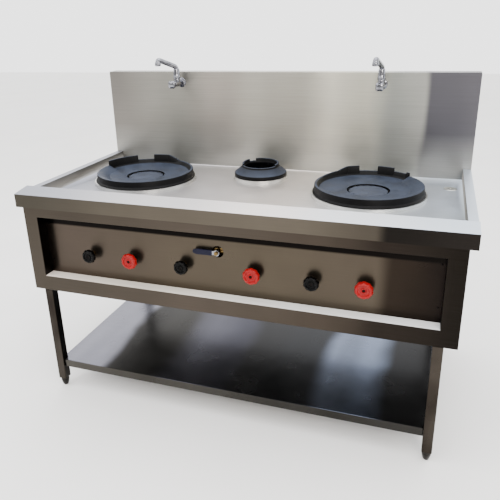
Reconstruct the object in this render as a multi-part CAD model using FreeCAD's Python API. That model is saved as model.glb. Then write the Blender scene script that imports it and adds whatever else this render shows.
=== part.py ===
"""Three-burner wok range: a folded steel stand with a sunk worktop, two large wok rings, one stock-pot ring,
six gas valves behind a recessed panel, a water stop valve and two swing taps on a tall splashback.

Millimetres. X runs left to right, Y front to back, Z up from the floor. The origin is the middle of the
footprint on the floor. Each sub-part has its own function, and main() writes one STEP file for each.
"""

import FreeCAD
import Part

import math
import os
from collections import namedtuple

from FreeCAD import Vector

# ---------------------------------------------------------------- driving dimensions: stand and sheet work
TOP_WIDTH = 1800.0
TOP_DEPTH = 900.0
FOOT_HEIGHT = 42.0
LEG_LENGTH = 460.0
BODY_HEIGHT = 377.0
APRON_HEIGHT = 56.0
SHEET = 1.5
FOLD_RADIUS = 3.0
SEAM_GAP = 0.3

RIDGE_RISE = 14.0
RIDGE_SETBACK = 89.0
RIDGE_FALL_RUN = 11.0
RIDGE_RADIUS = 5.0
PAN_SINK = 49.0
CURB_WIDTH = 34.0

SPLASH_HEIGHT = 419.0
SPLASH_DEPTH = 69.0

BODY_INSET_FRONT = 8.0
BODY_INSET_SIDE = 26.0
BODY_INSET_REAR = 20.0
STILE_WIDTH = 64.0
BOTTOM_RAIL_HEIGHT = 68.0
TOP_RAIL_HEIGHT = 42.0
RECESS_DEPTH = 52.0
PANEL_LAP = 10.0
SIDE_RETURN = 16.0
BACK_RETURN = 41.0
TRAY_LIP = 25.0
AIR_HOLE_RADIUS = 110.0

LEG_SIZE = 38.0
LEG_WALL = 1.6
LEG_INSET = 46.0
LEG_CORNER_RADIUS = 3.0
LEG_PLUG_HEIGHT = 20.0
FOOT_RADIUS = 18.0
FOOT_PAD_RADIUS = 10.0
FOOT_STEM_RADIUS = 5.0
FOOT_ROUNDING = 12.0
FOOT_STEM_REACH = 30.0

SHELF_HEIGHT = 142.0
SHELF_LIP = 35.0
SHELF_SETBACK = 10.0
STIFFENER_WIDTH = 50.0
STIFFENER_DEPTH = 20.0
STIFFENER_COUNT = 3

# ---------------------------------------------------------------- driving dimensions: wells and burners
RING_ROW_OFFSET = -31.0
RING_PITCH = 521.0
LARGE_RING_SETBACK = 500.0
SMALL_RING_FROM_REAR = 235.0
WELL_RISE = 13.0
WELL_FLOOR_RISE = 43.0
LARGE_WELL_RADIUS = 238.0
SMALL_WELL_RADIUS = 126.0
LARGE_RING_MARGIN = 5.5
SMALL_RING_MARGIN = 3.5
RING_OPENING_RADIUS = 97.0
WELL_WALL = 2.0
WELL_CLEARANCE = 0.2
WELL_COLLAR = 14.0
WELL_LEDGE = 28.0
BRIDGE_WIDTH = 80.0
BRIDGE_THICKNESS = 4.0
RING_LIP_WIDTH = 5.0
RING_LIP_DEPTH = 8.0
RING_LIP_CLEARANCE = 2.0

RIM_HEIGHT = 35.0
RIM_WIDTH = 10.0
DISH_DEPTH = 18.0
DISH_SLOPE = 7.0
CASTING_WALL = 6.0
CROWN_HEIGHT = 58.0
CROWN_LOW_HEIGHT = 43.0
CROWN_TOOTH_HEIGHT = 51.0
CROWN_WALL = 9.0
CROWN_GAP_DEG = 21.5
CROWN_RAMP_DEG = 12.0
CROWN_TOOTH_DEG = 4.0
LEFT_CROWN_TURN_DEG = 27.0
LEFT_LONG_LUG_DEG = 44.0
LEFT_SHORT_LUG_DEG = 22.0
LEFT_LOW_WALL_DEG = 5.0
RIGHT_CROWN_TURN_DEG = 7.0
RIGHT_SHORT_LUG_DEG = 15.0
RIGHT_LOW_WALL_DEG = 28.0
RIGHT_LONG_LUG_DEG = 20.0
RIGHT_TOOTH_LOW_DEG = 17.0
SPILL_LIP_DEG = 200.0
SPILL_LIP_WIDTH = 46.0

CONE_FOOT_HEIGHT = 16.0
CONE_HEIGHT = 43.0
CONE_TOP_RADIUS = 88.0
POT_LUG_HEIGHT = 61.0
POT_LUG_WALL = 10.0
POT_LUG_COUNT = 4
POT_LUG_GAP_DEG = 24.5

NECK_RADIUS = 22.0
NECK_FLANGE_RADIUS = 34.0
NECK_FLANGE_THICKNESS = 6.0
LARGE_HEAD_RADIUS = 80.0
SMALL_HEAD_RADIUS = 50.0
LARGE_HEAD_LIFT = 4.0
SMALL_HEAD_LIFT = 12.0
HEAD_THICKNESS = 10.0
HEAD_DOME = 3.0
HEAD_CUP_DEPTH = 45.0
PORT_COUNT = 16
PORT_WIDTH = 3.0
PORT_DEPTH = 10.0
MIXER_DROP = 36.0
MIXER_MOUTH_RADIUS = 30.0
MIXER_MOUTH_LENGTH = 26.0
MIXER_SETBACK = 160.0
MIXER_BEND = 34.0

# ---------------------------------------------------------------- driving dimensions: gas line and controls
KNOB_ROW_OFFSET = -24.0
KNOB_OFFSETS = (-567.5, -377.0, -146.0, 146.0, 377.0, 567.5)
KNOB_RISE = 106.0
MAIN_KNOB_RADIUS = 31.0
PILOT_KNOB_RADIUS = 35.0
KNOB_FRONT = 44.0
KNOB_BACK = 21.0
KNOB_HUB_START = 14.0
KNOB_HUB_RADIUS = 11.0
KNOB_DISH_DEPTH = 9.0
KNOB_FLUTES = 10
KNOB_FLUTE_RADIUS = 5.0
KNOB_FLUTE_DEPTH = 1.5
SPINDLE_RADIUS = 5.0
SPINDLE_FRONT = 33.0
RUNNING_CLEARANCE = 0.05
NOSE_RADIUS = 9.0
NOSE_FRONT = 12.0
PANEL_NUT_RADIUS = 13.0
PANEL_NUT_THICKNESS = 6.0
VALVE_RADIUS = 15.0
VALVE_SHOULDER_RADIUS = 12.5
VALVE_SHOULDER_END = 12.0
VALVE_BODY_START = 15.0
VALVE_OUTLET_DROP = 22.0
VALVE_OUTLET_RADIUS = 8.0
VALVE_LINE_SETBACK = 28.0
RAIL_SETBACK = 65.0
RAIL_RADIUS = 13.2
RAIL_SOCKET_RADIUS = 12.0
RAIL_SOCKET_REACH = 20.0
RAIL_END_MARGIN = 48.0
GAS_INLET_INSET = 120.0
GAS_BEND = 36.0
INLET_PROUD = 19.0
NIPPLE_LENGTH = 15.0
NIPPLE_STEP = 0.6
INLET_BORE_DEPTH = 30.0
PIPE_WALL = 2.6
FEED_RADIUS = 6.0
FEED_BEND = 12.0
INJECTOR_RADIUS = 9.0
INJECTOR_LENGTH = 14.0
INJECTOR_TIP_RADIUS = 4.0
INJECTOR_GAP = 10.0
PILOT_TUBE_RADIUS = 3.0
PILOT_TUBE_BEND = 10.0
PILOT_WELL_GAP = 7.0
PILOT_CLEARANCE = 7.5

# ---------------------------------------------------------------- driving dimensions: water line and taps
STOP_VALVE_X = -22.0
STOP_VALVE_DROP = 88.5
STOP_VALVE_HOLE_RADIUS = 24.0
STOP_VALVE_RADIUS = 17.0
STOP_VALVE_HALF_LENGTH = 38.0
STOP_VALVE_BARREL_HALF = 20.0
STOP_VALVE_END_RADIUS = 14.5
BALL_RADIUS = 12.0
BALL_BORE_RADIUS = 8.0
GLAND_RADIUS = 10.0
GLAND_FRONT = 14.0
LEVER_THICKNESS = 3.0
LEVER_WIDTH = 16.0
LEVER_LENGTH = 94.0
LEVER_BOSS_RADIUS = 12.0
LEVER_NUT_RADIUS = 8.5
LEVER_NUT_THICKNESS = 6.0
SLEEVE_START = 18.0
SLEEVE_END = 98.0
SLEEVE_WIDTH = 23.0
SLEEVE_THICKNESS = 8.0
WATER_PIPE_RADIUS = 10.5
WATER_PIPE_INSET = 55.0
WATER_PIPE_BEND = 30.0
RISER_SETBACK = 35.0

TAP_SPACING = 982.0
TAP_DROP = 51.0
TAP_BARREL_RADIUS = 13.5
TAP_ROSE_RADIUS = 24.0
TAP_ROSE_THICKNESS = 6.0
TAP_BARREL_LENGTH = 92.0
TAP_GLAND_LENGTH = 8.0
TAP_GLAND_RADIUS = 10.5
TAP_TAIL_RADIUS = 10.2
TAP_NUT_RADIUS = 16.0
TAP_NUT_THICKNESS = 6.0
TAP_TEE_REACH = 15.0
TAP_TEE_RADIUS = 14.0
SPOUT_STANDOFF = 50.0
SPOUT_BOSS_RADIUS = 15.5
SPOUT_BOSS_HEIGHT = 14.0
SPOUT_SPIGOT_RADIUS = 8.0
SPOUT_SPIGOT_DEPTH = 11.0
SPOUT_FOOT_RADIUS = 16.0
SPOUT_FOOT_HEIGHT = 44.0
SPOUT_RADIUS = 10.5
SPOUT_REACH = 110.0
SPOUT_BEND_HEIGHT = 61.0
SPOUT_PEAK_HEIGHT = 111.0
SPOUT_MOUTH_HEIGHT = 77.0
SPOUT_LOW_BEND = 22.0
SPOUT_TIP_BEND = 14.0
SPOUT_BORE_RADIUS = 7.5
SPOUT_BORE_DEPTH = 14.0
LEFT_SPOUT_TURN_DEG = 26.0
RIGHT_SPOUT_TURN_DEG = 9.0
TAP_STEM_RADIUS = 4.5
TAP_STEM_DEPTH = 18.0
TAP_HANDLE_RADIUS = 21.0
TAP_HANDLE_THICKNESS = 20.0
TAP_HANDLE_LOBES = 6
TAP_HANDLE_LOBE_RADIUS = 7.0

DRAIN_INSET = 84.0
DRAIN_FROM_REAR = 232.0
DRAIN_OUTLET_RISE = 58.0
DRAIN_BEND = 34.0
DRAIN_PIPE_RADIUS = 14.0
DRAIN_FLANGE_RADIUS = 28.0
DRAIN_WALL = 2.0
DRAIN_TAIL_RADIUS = 12.5
DRAIN_NUT_THICKNESS = 5.0
DRAIN_SLOTS = 6
DRAIN_SLOT_RADIUS = 2.5

# ---------------------------------------------------------------- places worked out from the dimensions
BODY_BOTTOM = FOOT_HEIGHT + LEG_LENGTH
APRON_BOTTOM = BODY_BOTTOM + BODY_HEIGHT
TOP_Z = APRON_BOTTOM + APRON_HEIGHT
PAN_Z = TOP_Z - PAN_SINK
SEAT_Z = PAN_Z + WELL_RISE
HALF_WIDTH = TOP_WIDTH / 2
FRONT_Y = -TOP_DEPTH / 2
REAR_Y = TOP_DEPTH / 2
RIDGE_Y = FRONT_Y + RIDGE_SETBACK
SPLASH_Y = REAR_Y - SPLASH_DEPTH
BODY_X = HALF_WIDTH - BODY_INSET_SIDE
BODY_FRONT_Y = FRONT_Y + BODY_INSET_FRONT
BODY_REAR_Y = REAR_Y - BODY_INSET_REAR
PANEL_Y = BODY_FRONT_Y + RECESS_DEPTH
BODY_TOP = TOP_Z - SHEET
WINDOW_X = BODY_X - STILE_WIDTH
WINDOW_BOTTOM = BODY_BOTTOM + BOTTOM_RAIL_HEIGHT
WINDOW_TOP = APRON_BOTTOM - TOP_RAIL_HEIGHT
PAN_X = HALF_WIDTH - CURB_WIDTH
LEG_X = BODY_X - LEG_INSET
KNOB_HEIGHT = WINDOW_BOTTOM + KNOB_RISE
STOP_VALVE_HEIGHT = WINDOW_TOP - STOP_VALVE_DROP
MIXER_HEIGHT = KNOB_HEIGHT - MIXER_DROP
WELL_BOTTOM = KNOB_HEIGHT + WELL_FLOOR_RISE
PILOT_TUBE_HEIGHT = WELL_BOTTOM - PILOT_WELL_GAP - PILOT_TUBE_RADIUS
GAS_INLET_X = HALF_WIDTH - GAS_INLET_INSET
WATER_PIPE_X = HALF_WIDTH - WATER_PIPE_INSET
INLET_Y = BODY_REAR_Y + INLET_PROUD
BRIDGE_TOP = WELL_BOTTOM + BRIDGE_THICKNESS
VALVE_Y = PANEL_Y + VALVE_LINE_SETBACK
RAIL_Y = PANEL_Y + RAIL_SETBACK
MIXER_MOUTH_Y = FRONT_Y + MIXER_SETBACK
RISER_Y = REAR_Y - RISER_SETBACK
TAP_Z = TOP_Z + SPLASH_HEIGHT - TAP_DROP
SPOUT_Y = SPLASH_Y - SPOUT_STANDOFF
SPOUT_SEAT_Z = TAP_Z + SPOUT_BOSS_HEIGHT
DRAIN_X = HALF_WIDTH - DRAIN_INSET
DRAIN_Y = REAR_Y - DRAIN_FROM_REAR
DRAIN_OUTLET_Z = BODY_BOTTOM + DRAIN_OUTLET_RISE
KNOB_XS = tuple(KNOB_ROW_OFFSET + offset for offset in KNOB_OFFSETS)
MAIN_XS = KNOB_XS[0::2]
PILOT_XS = KNOB_XS[1::2]

BurnerPlace = namedtuple("BurnerPlace", "name x y well_radius ring_radius head_radius head_lift")


def large_place(name, x):
    """Place and sizes of a wok burner."""
    ring_radius = LARGE_WELL_RADIUS - LARGE_RING_MARGIN
    y = FRONT_Y + LARGE_RING_SETBACK
    return BurnerPlace(name, x, y, LARGE_WELL_RADIUS, ring_radius, LARGE_HEAD_RADIUS, LARGE_HEAD_LIFT)


def small_place(name, x):
    """Place and sizes of the stock-pot burner."""
    ring_radius = SMALL_WELL_RADIUS - SMALL_RING_MARGIN
    y = REAR_Y - SMALL_RING_FROM_REAR
    return BurnerPlace(name, x, y, SMALL_WELL_RADIUS, ring_radius, SMALL_HEAD_RADIUS, SMALL_HEAD_LIFT)


LEFT = large_place("left", RING_ROW_OFFSET - RING_PITCH)
CENTRE = small_place("centre", RING_ROW_OFFSET)
RIGHT = large_place("right", RING_ROW_OFFSET + RING_PITCH)
BURNERS = (LEFT, CENTRE, RIGHT)

UP = Vector(0, 0, 1)
TO_BACK = Vector(0, 1, 0)
TO_RIGHT = Vector(1, 0, 0)


# ---------------------------------------------------------------- shape helpers
def box(x_span, y_span, z_span):
    """Block between two corners, each span given low then high."""
    size = [span[1] - span[0] for span in (x_span, y_span, z_span)]
    return Part.makeBox(*size, Vector(x_span[0], y_span[0], z_span[0]))


def rod(radius, start, direction, length):
    """Solid cylinder from a start point along a direction."""
    return Part.makeCylinder(radius, length, start, direction)


def joined(shapes):
    """One solid from shapes that touch or overlap, with merged faces."""
    first, *rest = shapes
    return first.fuse(rest).removeSplitter()


def path_edges(corners, closed):
    """Lines and tangent arcs through corners, each a pair of a point and its rounding radius."""
    count = len(corners)
    stations = []
    for index, (corner, radius) in enumerate(corners):
        at_end = not closed and index in (0, count - 1)
        if radius == 0 or at_end:
            stations.append((corner, None, corner))
            continue
        to_last = (corners[index - 1][0] - corner).normalize()
        to_next = (corners[(index + 1) % count][0] - corner).normalize()
        half_angle = to_last.getAngle(to_next) / 2
        reach = radius / math.tan(half_angle)
        inward = (to_last + to_next).normalize()
        middle = corner + inward * (radius / math.sin(half_angle) - radius)
        stations.append((corner + to_last * reach, middle, corner + to_next * reach))
    edges = []
    for index, (start, middle, end) in enumerate(stations):
        if middle is not None:
            edges.append(Part.Arc(start, middle, end).toShape())
        if closed or index < count - 1:
            next_start = stations[(index + 1) % count][0]
            edges.append(Part.LineSegment(end, next_start).toShape())
    return edges


def side_profile(points, x_span):
    """Solid of one YZ outline, points (y, z, radius), run along X."""
    corners = [(Vector(x_span[0], y, z), radius) for y, z, radius in points]
    face = Part.Face(Part.Wire(path_edges(corners, closed=True)))
    return face.extrude(TO_RIGHT * (x_span[1] - x_span[0]))


def turned(points, centre, axis=UP, angle=360.0):
    """Solid of revolution of points (radius, height along axis, rounding) about an axis through centre."""
    outward = TO_RIGHT
    corners = [(centre + outward * r + axis * h, rounding) for r, h, rounding in points]
    face = Part.Face(Part.Wire(path_edges(corners, closed=True)))
    return face.revolve(centre, axis, angle)


def tube(points, bend, radius):
    """Solid round bar along points with equal bends."""
    corners = [(point, bend) for point in points]
    path = Part.Wire(path_edges(corners, closed=False))
    heading = (points[1] - points[0]).normalize()
    section = Part.Wire(Part.Circle(points[0], heading, radius).toShape())
    return path.makePipeShell([section], True, False)


def ring_of(shape, count, centre, axis, start_deg=0.0):
    """Copies of a shape spaced evenly round an axis."""
    copies = []
    for index in range(count):
        copy = shape.copy()
        copy.rotate(centre, axis, start_deg + 360.0 * index / count)
        copies.append(copy)
    return copies


def hexagon(across_corners_radius, centre, direction, length):
    """Hexagonal nut blank along a direction."""
    start = Part.Circle(centre, direction, across_corners_radius)
    points = [start.value(math.radians(60 * index)) for index in range(6)]
    outline = Part.makePolygon(points + points[:1])
    return Part.Face(outline).extrude(direction * length)


# ---------------------------------------------------------------- sheet work
def worktop():
    """Folded top: raised front nosing, side curbs, aprons with bottom returns and the sunk pan."""
    fall_y = RIDGE_Y + RIDGE_FALL_RUN * RIDGE_RISE / (RIDGE_RISE + PAN_SINK)

    def envelope(inset):
        low, high = FRONT_Y + inset, REAR_Y - inset
        round_in = max(FOLD_RADIUS - inset, 0)
        outline = [
            (low, APRON_BOTTOM + inset, 0),
            (low, TOP_Z - inset, round_in),
            (RIDGE_Y - inset / 4, TOP_Z + RIDGE_RISE - inset, RIDGE_RADIUS - inset),
            (fall_y - inset, TOP_Z - inset, 0),
            (high, TOP_Z - inset, 0),
            (high, APRON_BOTTOM + inset, 0),
        ]
        return side_profile(outline, (-HALF_WIDTH + inset, HALF_WIDTH - inset))

    def pan_space(growth):
        above = TOP_Z + RIDGE_RISE + PAN_SINK
        rise = above - PAN_Z
        lean = RIDGE_FALL_RUN * rise / (RIDGE_RISE + PAN_SINK)
        foot_y = RIDGE_Y + RIDGE_FALL_RUN - growth
        outline = [
            (foot_y, PAN_Z - growth, 0),
            (SPLASH_Y + SHEET + growth, PAN_Z - growth, 0),
            (SPLASH_Y + SHEET + growth, above, 0),
            (foot_y - lean, above, 0),
        ]
        return side_profile(outline, (-PAN_X - growth, PAN_X + growth))

    hollow = envelope(SHEET).cut(pan_space(SHEET))
    top = envelope(0).cut([pan_space(0), hollow])
    body_opening = box(
        (-BODY_X - SEAM_GAP, BODY_X + SEAM_GAP),
        (BODY_FRONT_Y - SEAM_GAP, BODY_REAR_Y + SEAM_GAP),
        (APRON_BOTTOM - 1, APRON_BOTTOM + 2 * SHEET),
    )
    holes = [body_opening]
    for place in BURNERS:
        start = Vector(place.x, place.y, PAN_Z - 2 * SHEET)
        holes.append(rod(place.well_radius + WELL_CLEARANCE, start, UP, 4 * SHEET))
    drain_start = Vector(DRAIN_X, DRAIN_Y, PAN_Z - 2 * SHEET)
    holes.append(rod(DRAIN_PIPE_RADIUS + WELL_CLEARANCE, drain_start, UP, 4 * SHEET))
    riser_start = Vector(WATER_PIPE_X, RISER_Y, TOP_Z - 2 * SHEET)
    holes.append(rod(WATER_PIPE_RADIUS + SEAM_GAP, riser_start, UP, 4 * SHEET))
    return top.cut(holes)


def tap_centres():
    """Axis points of the two taps where they pass the splashback's front sheet."""
    return [Vector(side * TAP_SPACING / 2, SPLASH_Y, TAP_Z) for side in (-1, 1)]


def splashback():
    """Tall hollow upstand: front sheet, ends and top folded back, and a skirt down to the pan."""
    top_z = TOP_Z + SPLASH_HEIGHT
    back = REAR_Y - SHEET
    outer = box((-HALF_WIDTH, HALF_WIDTH), (SPLASH_Y, back), (TOP_Z, top_z))
    inner = box(
        (-HALF_WIDTH + SHEET, HALF_WIDTH - SHEET), (SPLASH_Y + SHEET, back), (TOP_Z, top_z - SHEET)
    )
    skirt_x = PAN_X - SEAM_GAP
    skirt = box((-skirt_x, skirt_x), (SPLASH_Y, SPLASH_Y + SHEET), (PAN_Z, TOP_Z))
    holes = [rod(TAP_TAIL_RADIUS + SEAM_GAP, p - TO_BACK * SHEET, TO_BACK, 3 * SHEET) for p in tap_centres()]
    return joined([outer.cut(inner), skirt]).cut(holes)


def splashback_cover():
    """Flat sheet that closes the back of the upstand."""
    return box((-HALF_WIDTH, HALF_WIDTH), (REAR_Y - SHEET, REAR_Y), (TOP_Z, TOP_Z + SPLASH_HEIGHT))


def front_frame():
    """Picture-frame front with folded outer edges and a deep window whose walls run back to the panel."""
    outer = box((-BODY_X, BODY_X), (BODY_FRONT_Y, PANEL_Y), (BODY_BOTTOM, BODY_TOP))
    hollow = box(
        (-BODY_X + SHEET, BODY_X - SHEET),
        (BODY_FRONT_Y + SHEET, PANEL_Y),
        (BODY_BOTTOM + SHEET, BODY_TOP - SHEET),
    )

    def window(growth):
        return box(
            (-WINDOW_X - growth, WINDOW_X + growth),
            (BODY_FRONT_Y - 1, PANEL_Y + 1),
            (WINDOW_BOTTOM - growth, WINDOW_TOP + growth),
        )

    return outer.cut([window(0), hollow.cut(window(SHEET))])


def control_panel():
    """Flat sheet behind the window, pierced for the valve noses and the stop valve."""
    sheet = box(
        (-WINDOW_X - PANEL_LAP, WINDOW_X + PANEL_LAP),
        (PANEL_Y, PANEL_Y + SHEET),
        (WINDOW_BOTTOM - PANEL_LAP, WINDOW_TOP + PANEL_LAP),
    )
    holes = []
    for x in KNOB_XS:
        start = Vector(x, PANEL_Y - SHEET, KNOB_HEIGHT)
        holes.append(rod(NOSE_RADIUS + SEAM_GAP, start, TO_BACK, 3 * SHEET))
    stop_start = Vector(STOP_VALVE_X, PANEL_Y - SHEET, STOP_VALVE_HEIGHT)
    holes.append(rod(STOP_VALVE_HOLE_RADIUS, stop_start, TO_BACK, 3 * SHEET))
    return sheet.cut(holes)


def side_panel(side):
    """Side sheet with returns along its bottom and back edges; side is -1 for left, 1 for right."""
    back = BODY_REAR_Y - SHEET
    outer = box((BODY_X - SHEET - SIDE_RETURN, BODY_X), (PANEL_Y, back), (BODY_BOTTOM, BODY_TOP))
    hollow = box(
        (BODY_X - SHEET - SIDE_RETURN, BODY_X - SHEET),
        (PANEL_Y, back - SHEET),
        (BODY_BOTTOM + SHEET, BODY_TOP),
    )
    panel = outer.cut(hollow)
    return panel if side > 0 else panel.mirror(Vector(), TO_RIGHT)


def back_panel():
    """Back sheet with a deep bottom return over the rear legs and holes for the inlets and the drain."""
    sheet = box((-BODY_X, BODY_X), (BODY_REAR_Y - SHEET, BODY_REAR_Y), (BODY_BOTTOM, BODY_TOP))
    return_x = BODY_X - SHEET - SIDE_RETURN - SEAM_GAP
    bottom = box(
        (-return_x, return_x),
        (BODY_REAR_Y - BACK_RETURN, BODY_REAR_Y - SHEET),
        (BODY_BOTTOM, BODY_BOTTOM + SHEET),
    )
    pipes = (
        (GAS_INLET_X, KNOB_HEIGHT, RAIL_RADIUS),
        (-WATER_PIPE_X, STOP_VALVE_HEIGHT, WATER_PIPE_RADIUS),
        (DRAIN_X, DRAIN_OUTLET_Z, DRAIN_PIPE_RADIUS),
    )
    holes = []
    for x, z, radius in pipes:
        start = Vector(x, BODY_REAR_Y - 2 * SHEET, z)
        holes.append(rod(radius + SEAM_GAP, start, TO_BACK, 4 * SHEET))
    return joined([sheet, bottom]).cut(holes)


def base_tray():
    """Shallow tray on the bottom returns, with an air hole under each burner."""
    half_x = BODY_X - SHEET - SEAM_GAP
    front = BODY_FRONT_Y + SHEET + SEAM_GAP
    back = BODY_REAR_Y - 2 * SHEET - SEAM_GAP
    floor = BODY_BOTTOM + SHEET
    outer = box((-half_x, half_x), (front, back), (floor, floor + TRAY_LIP))
    inner = box(
        (-half_x + SHEET, half_x - SHEET), (front + SHEET, back - SHEET), (floor + SHEET, floor + TRAY_LIP)
    )
    holes = [rod(AIR_HOLE_RADIUS, Vector(p.x, p.y, floor - SHEET), UP, 3 * SHEET) for p in BURNERS]
    return outer.cut([inner] + holes)


# ---------------------------------------------------------------- stand
def leg_corner(side, end):
    """Outer corner of one leg in plan: side -1 left or 1 right, end -1 front or 1 rear."""
    corner_y = BODY_FRONT_Y if end < 0 else BODY_REAR_Y
    return side * LEG_X, corner_y


def leg_centre(side, end):
    """Plan centre of one leg."""
    x, y = leg_corner(side, end)
    return x - side * LEG_SIZE / 2, y - end * LEG_SIZE / 2


def leg(side, end):
    """Square tube with a welded cap on top and a drilled plug at the bottom for the foot's stem."""
    x, y = leg_centre(side, end)

    def square(size, z_span):
        half = size / 2
        return box((x - half, x + half), (y - half, y + half), z_span)

    outside = square(LEG_SIZE, (FOOT_HEIGHT, BODY_BOTTOM))
    upright = [edge for edge in outside.Edges if abs(edge.tangentAt(edge.FirstParameter).z) > 0.9]
    outside = outside.makeFillet(LEG_CORNER_RADIUS, upright)
    inside = square(LEG_SIZE - 2 * LEG_WALL, (FOOT_HEIGHT + LEG_PLUG_HEIGHT, BODY_BOTTOM - LEG_WALL))
    stem_start = Vector(x, y, FOOT_HEIGHT - 1)
    stem_hole = rod(FOOT_STEM_RADIUS + RUNNING_CLEARANCE, stem_start, UP, LEG_PLUG_HEIGHT + 2)
    return outside.cut([inside, stem_hole])


def foot(side, end):
    """Bullet-shaped levelling foot with its stem."""
    x, y = leg_centre(side, end)
    top = FOOT_HEIGHT - SEAM_GAP
    outline = [
        (0, 0, 0),
        (FOOT_PAD_RADIUS, 0, 0),
        (FOOT_RADIUS, top * 0.6, FOOT_ROUNDING),
        (FOOT_RADIUS, top, 0),
        (FOOT_STEM_RADIUS, top, 0),
        (FOOT_STEM_RADIUS, FOOT_HEIGHT + FOOT_STEM_REACH, 0),
        (0, FOOT_HEIGHT + FOOT_STEM_REACH, 0),
    ]
    return turned(outline, Vector(x, y, 0))


def shelf_spans():
    """The shelf's two plan rectangles: one between leg backs, one between the legs' inner faces."""
    wide_x = LEG_X - LEG_SIZE / 2
    narrow_x = LEG_X - LEG_SIZE
    behind_legs = (BODY_FRONT_Y + LEG_SIZE, BODY_REAR_Y - LEG_SIZE)
    between_legs = (BODY_FRONT_Y + SHELF_SETBACK, BODY_REAR_Y - SHELF_SETBACK)
    return ((wide_x, behind_legs), (narrow_x, between_legs))


def undershelf():
    """Storage shelf notched round the legs, with its edges folded down."""
    bottom = SHELF_HEIGHT - SHELF_LIP

    def plan(inset, z_span):
        parts = []
        for half_x, (front, back) in shelf_spans():
            parts.append(box((-half_x + inset, half_x - inset), (front + inset, back - inset), z_span))
        return joined(parts)

    return plan(0, (bottom, SHELF_HEIGHT)).cut(plan(SHEET, (bottom, SHELF_HEIGHT - SHEET)))


def shelf_stiffeners():
    """Hat channels under the shelf, front to back."""
    front = BODY_FRONT_Y + SHELF_SETBACK + SHEET
    back = BODY_REAR_Y - SHELF_SETBACK - SHEET
    top = SHELF_HEIGHT - SHEET
    half = STIFFENER_WIDTH / 2
    spacing = 2 * (LEG_X - LEG_SIZE) / (STIFFENER_COUNT + 1)
    channels = []
    for index in range(STIFFENER_COUNT):
        x = (index + 1) * spacing - (LEG_X - LEG_SIZE)
        outer = box((x - half, x + half), (front, back), (top - STIFFENER_DEPTH, top))
        trough = box(
            (x - half + SHEET, x + half - SHEET), (front, back), (top - STIFFENER_DEPTH + SHEET, top)
        )
        channels.append(outer.cut(trough))
    return Part.makeCompound(channels)


# ---------------------------------------------------------------- rings, wells and burners
def ledge_radius(place):
    """Inner radius of a well's top ledge."""
    return place.well_radius - WELL_LEDGE


def burner_well(place):
    """Round shell hung in the pan: raised collar, ring ledge, under-pan flange and the burner's bridge."""
    r = place.well_radius
    under_pan = PAN_Z - SHEET
    outline = [
        (r - WELL_WALL, WELL_BOTTOM, 0),
        (r, WELL_BOTTOM, 0),
        (r, under_pan - WELL_WALL, 0),
        (r + WELL_COLLAR, under_pan - WELL_WALL, 0),
        (r + WELL_COLLAR, under_pan, 0),
        (r, under_pan, 0),
        (r, SEAT_Z, 0),
        (ledge_radius(place), SEAT_Z, 0),
        (ledge_radius(place), SEAT_Z - WELL_WALL, 0),
        (r - WELL_WALL, SEAT_Z - WELL_WALL, 0),
    ]
    shell = turned(outline, Vector(place.x, place.y, 0))
    half = BRIDGE_WIDTH / 2
    reach = math.sqrt((r - WELL_WALL / 2) ** 2 - half**2)
    bridge = box(
        (place.x - reach, place.x + reach), (place.y - half, place.y + half), (WELL_BOTTOM, BRIDGE_TOP)
    )
    neck_start = Vector(place.x, place.y, WELL_BOTTOM - 1)
    neck_hole = rod(NECK_RADIUS + SEAM_GAP, neck_start, UP, BRIDGE_THICKNESS + 2)
    return joined([shell, bridge]).cut(neck_hole)


def ring_lip(place):
    """Outline points of the centring lip that drops inside the well's ledge."""
    outer = ledge_radius(place) - RING_LIP_CLEARANCE
    inner = outer - RING_LIP_WIDTH
    return [(inner, -RING_LIP_DEPTH, 0), (outer, -RING_LIP_DEPTH, 0), (outer, 0, 0)]


def crown_wall(seat, outer_radius, start_deg, sweep_deg, height, end_height=None):
    """Arc of the raised wall, level or sloping down to its end height; a negative sweep runs to the right."""
    inner_low = outer_radius - CROWN_WALL - 6
    outline = [
        (inner_low - 3, RIM_HEIGHT - DISH_DEPTH + 2, 0),
        (outer_radius, RIM_HEIGHT - 10, 0),
        (outer_radius - 1, height, 0),
        (outer_radius - CROWN_WALL, height, 0),
    ]
    wall = turned(outline, seat, UP, abs(sweep_deg))
    if end_height is not None:
        run = outer_radius * math.sin(math.radians(abs(sweep_deg)))
        above = Vector(0, 0, 2 * height)
        low, end = Vector(0, 0, height), Vector(0, 2 * run, 2 * end_height - height)
        slope = Part.makePolygon([low, end, end + above, low + above, low])
        wall = wall.cut(Part.Face(slope).extrude(TO_RIGHT * 2 * outer_radius).translated(seat))
    if sweep_deg < 0:
        wall = wall.mirror(seat, TO_BACK)
    wall.rotate(seat, UP, start_deg)
    return wall


def spill_lip(seat, rim_inner, dish_edge, start_deg):
    """Sloping infill that leads the dish up to the rim where no wall stands."""
    floor_z = RIM_HEIGHT - DISH_DEPTH
    foot = rim_inner - SPILL_LIP_WIDTH
    fall = DISH_SLOPE * (dish_edge - foot) / (dish_edge - RING_OPENING_RADIUS)
    outline = [
        (rim_inner + 1, RIM_HEIGHT, 0),
        (foot, floor_z - fall - SEAM_GAP, 0),
        (foot, floor_z - CASTING_WALL / 2, 0),
        (rim_inner + 1, floor_z - CASTING_WALL / 2, 0),
    ]
    lip = turned(outline, seat, UP, SPILL_LIP_DEG)
    lip.rotate(seat, UP, start_deg)
    return lip


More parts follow.
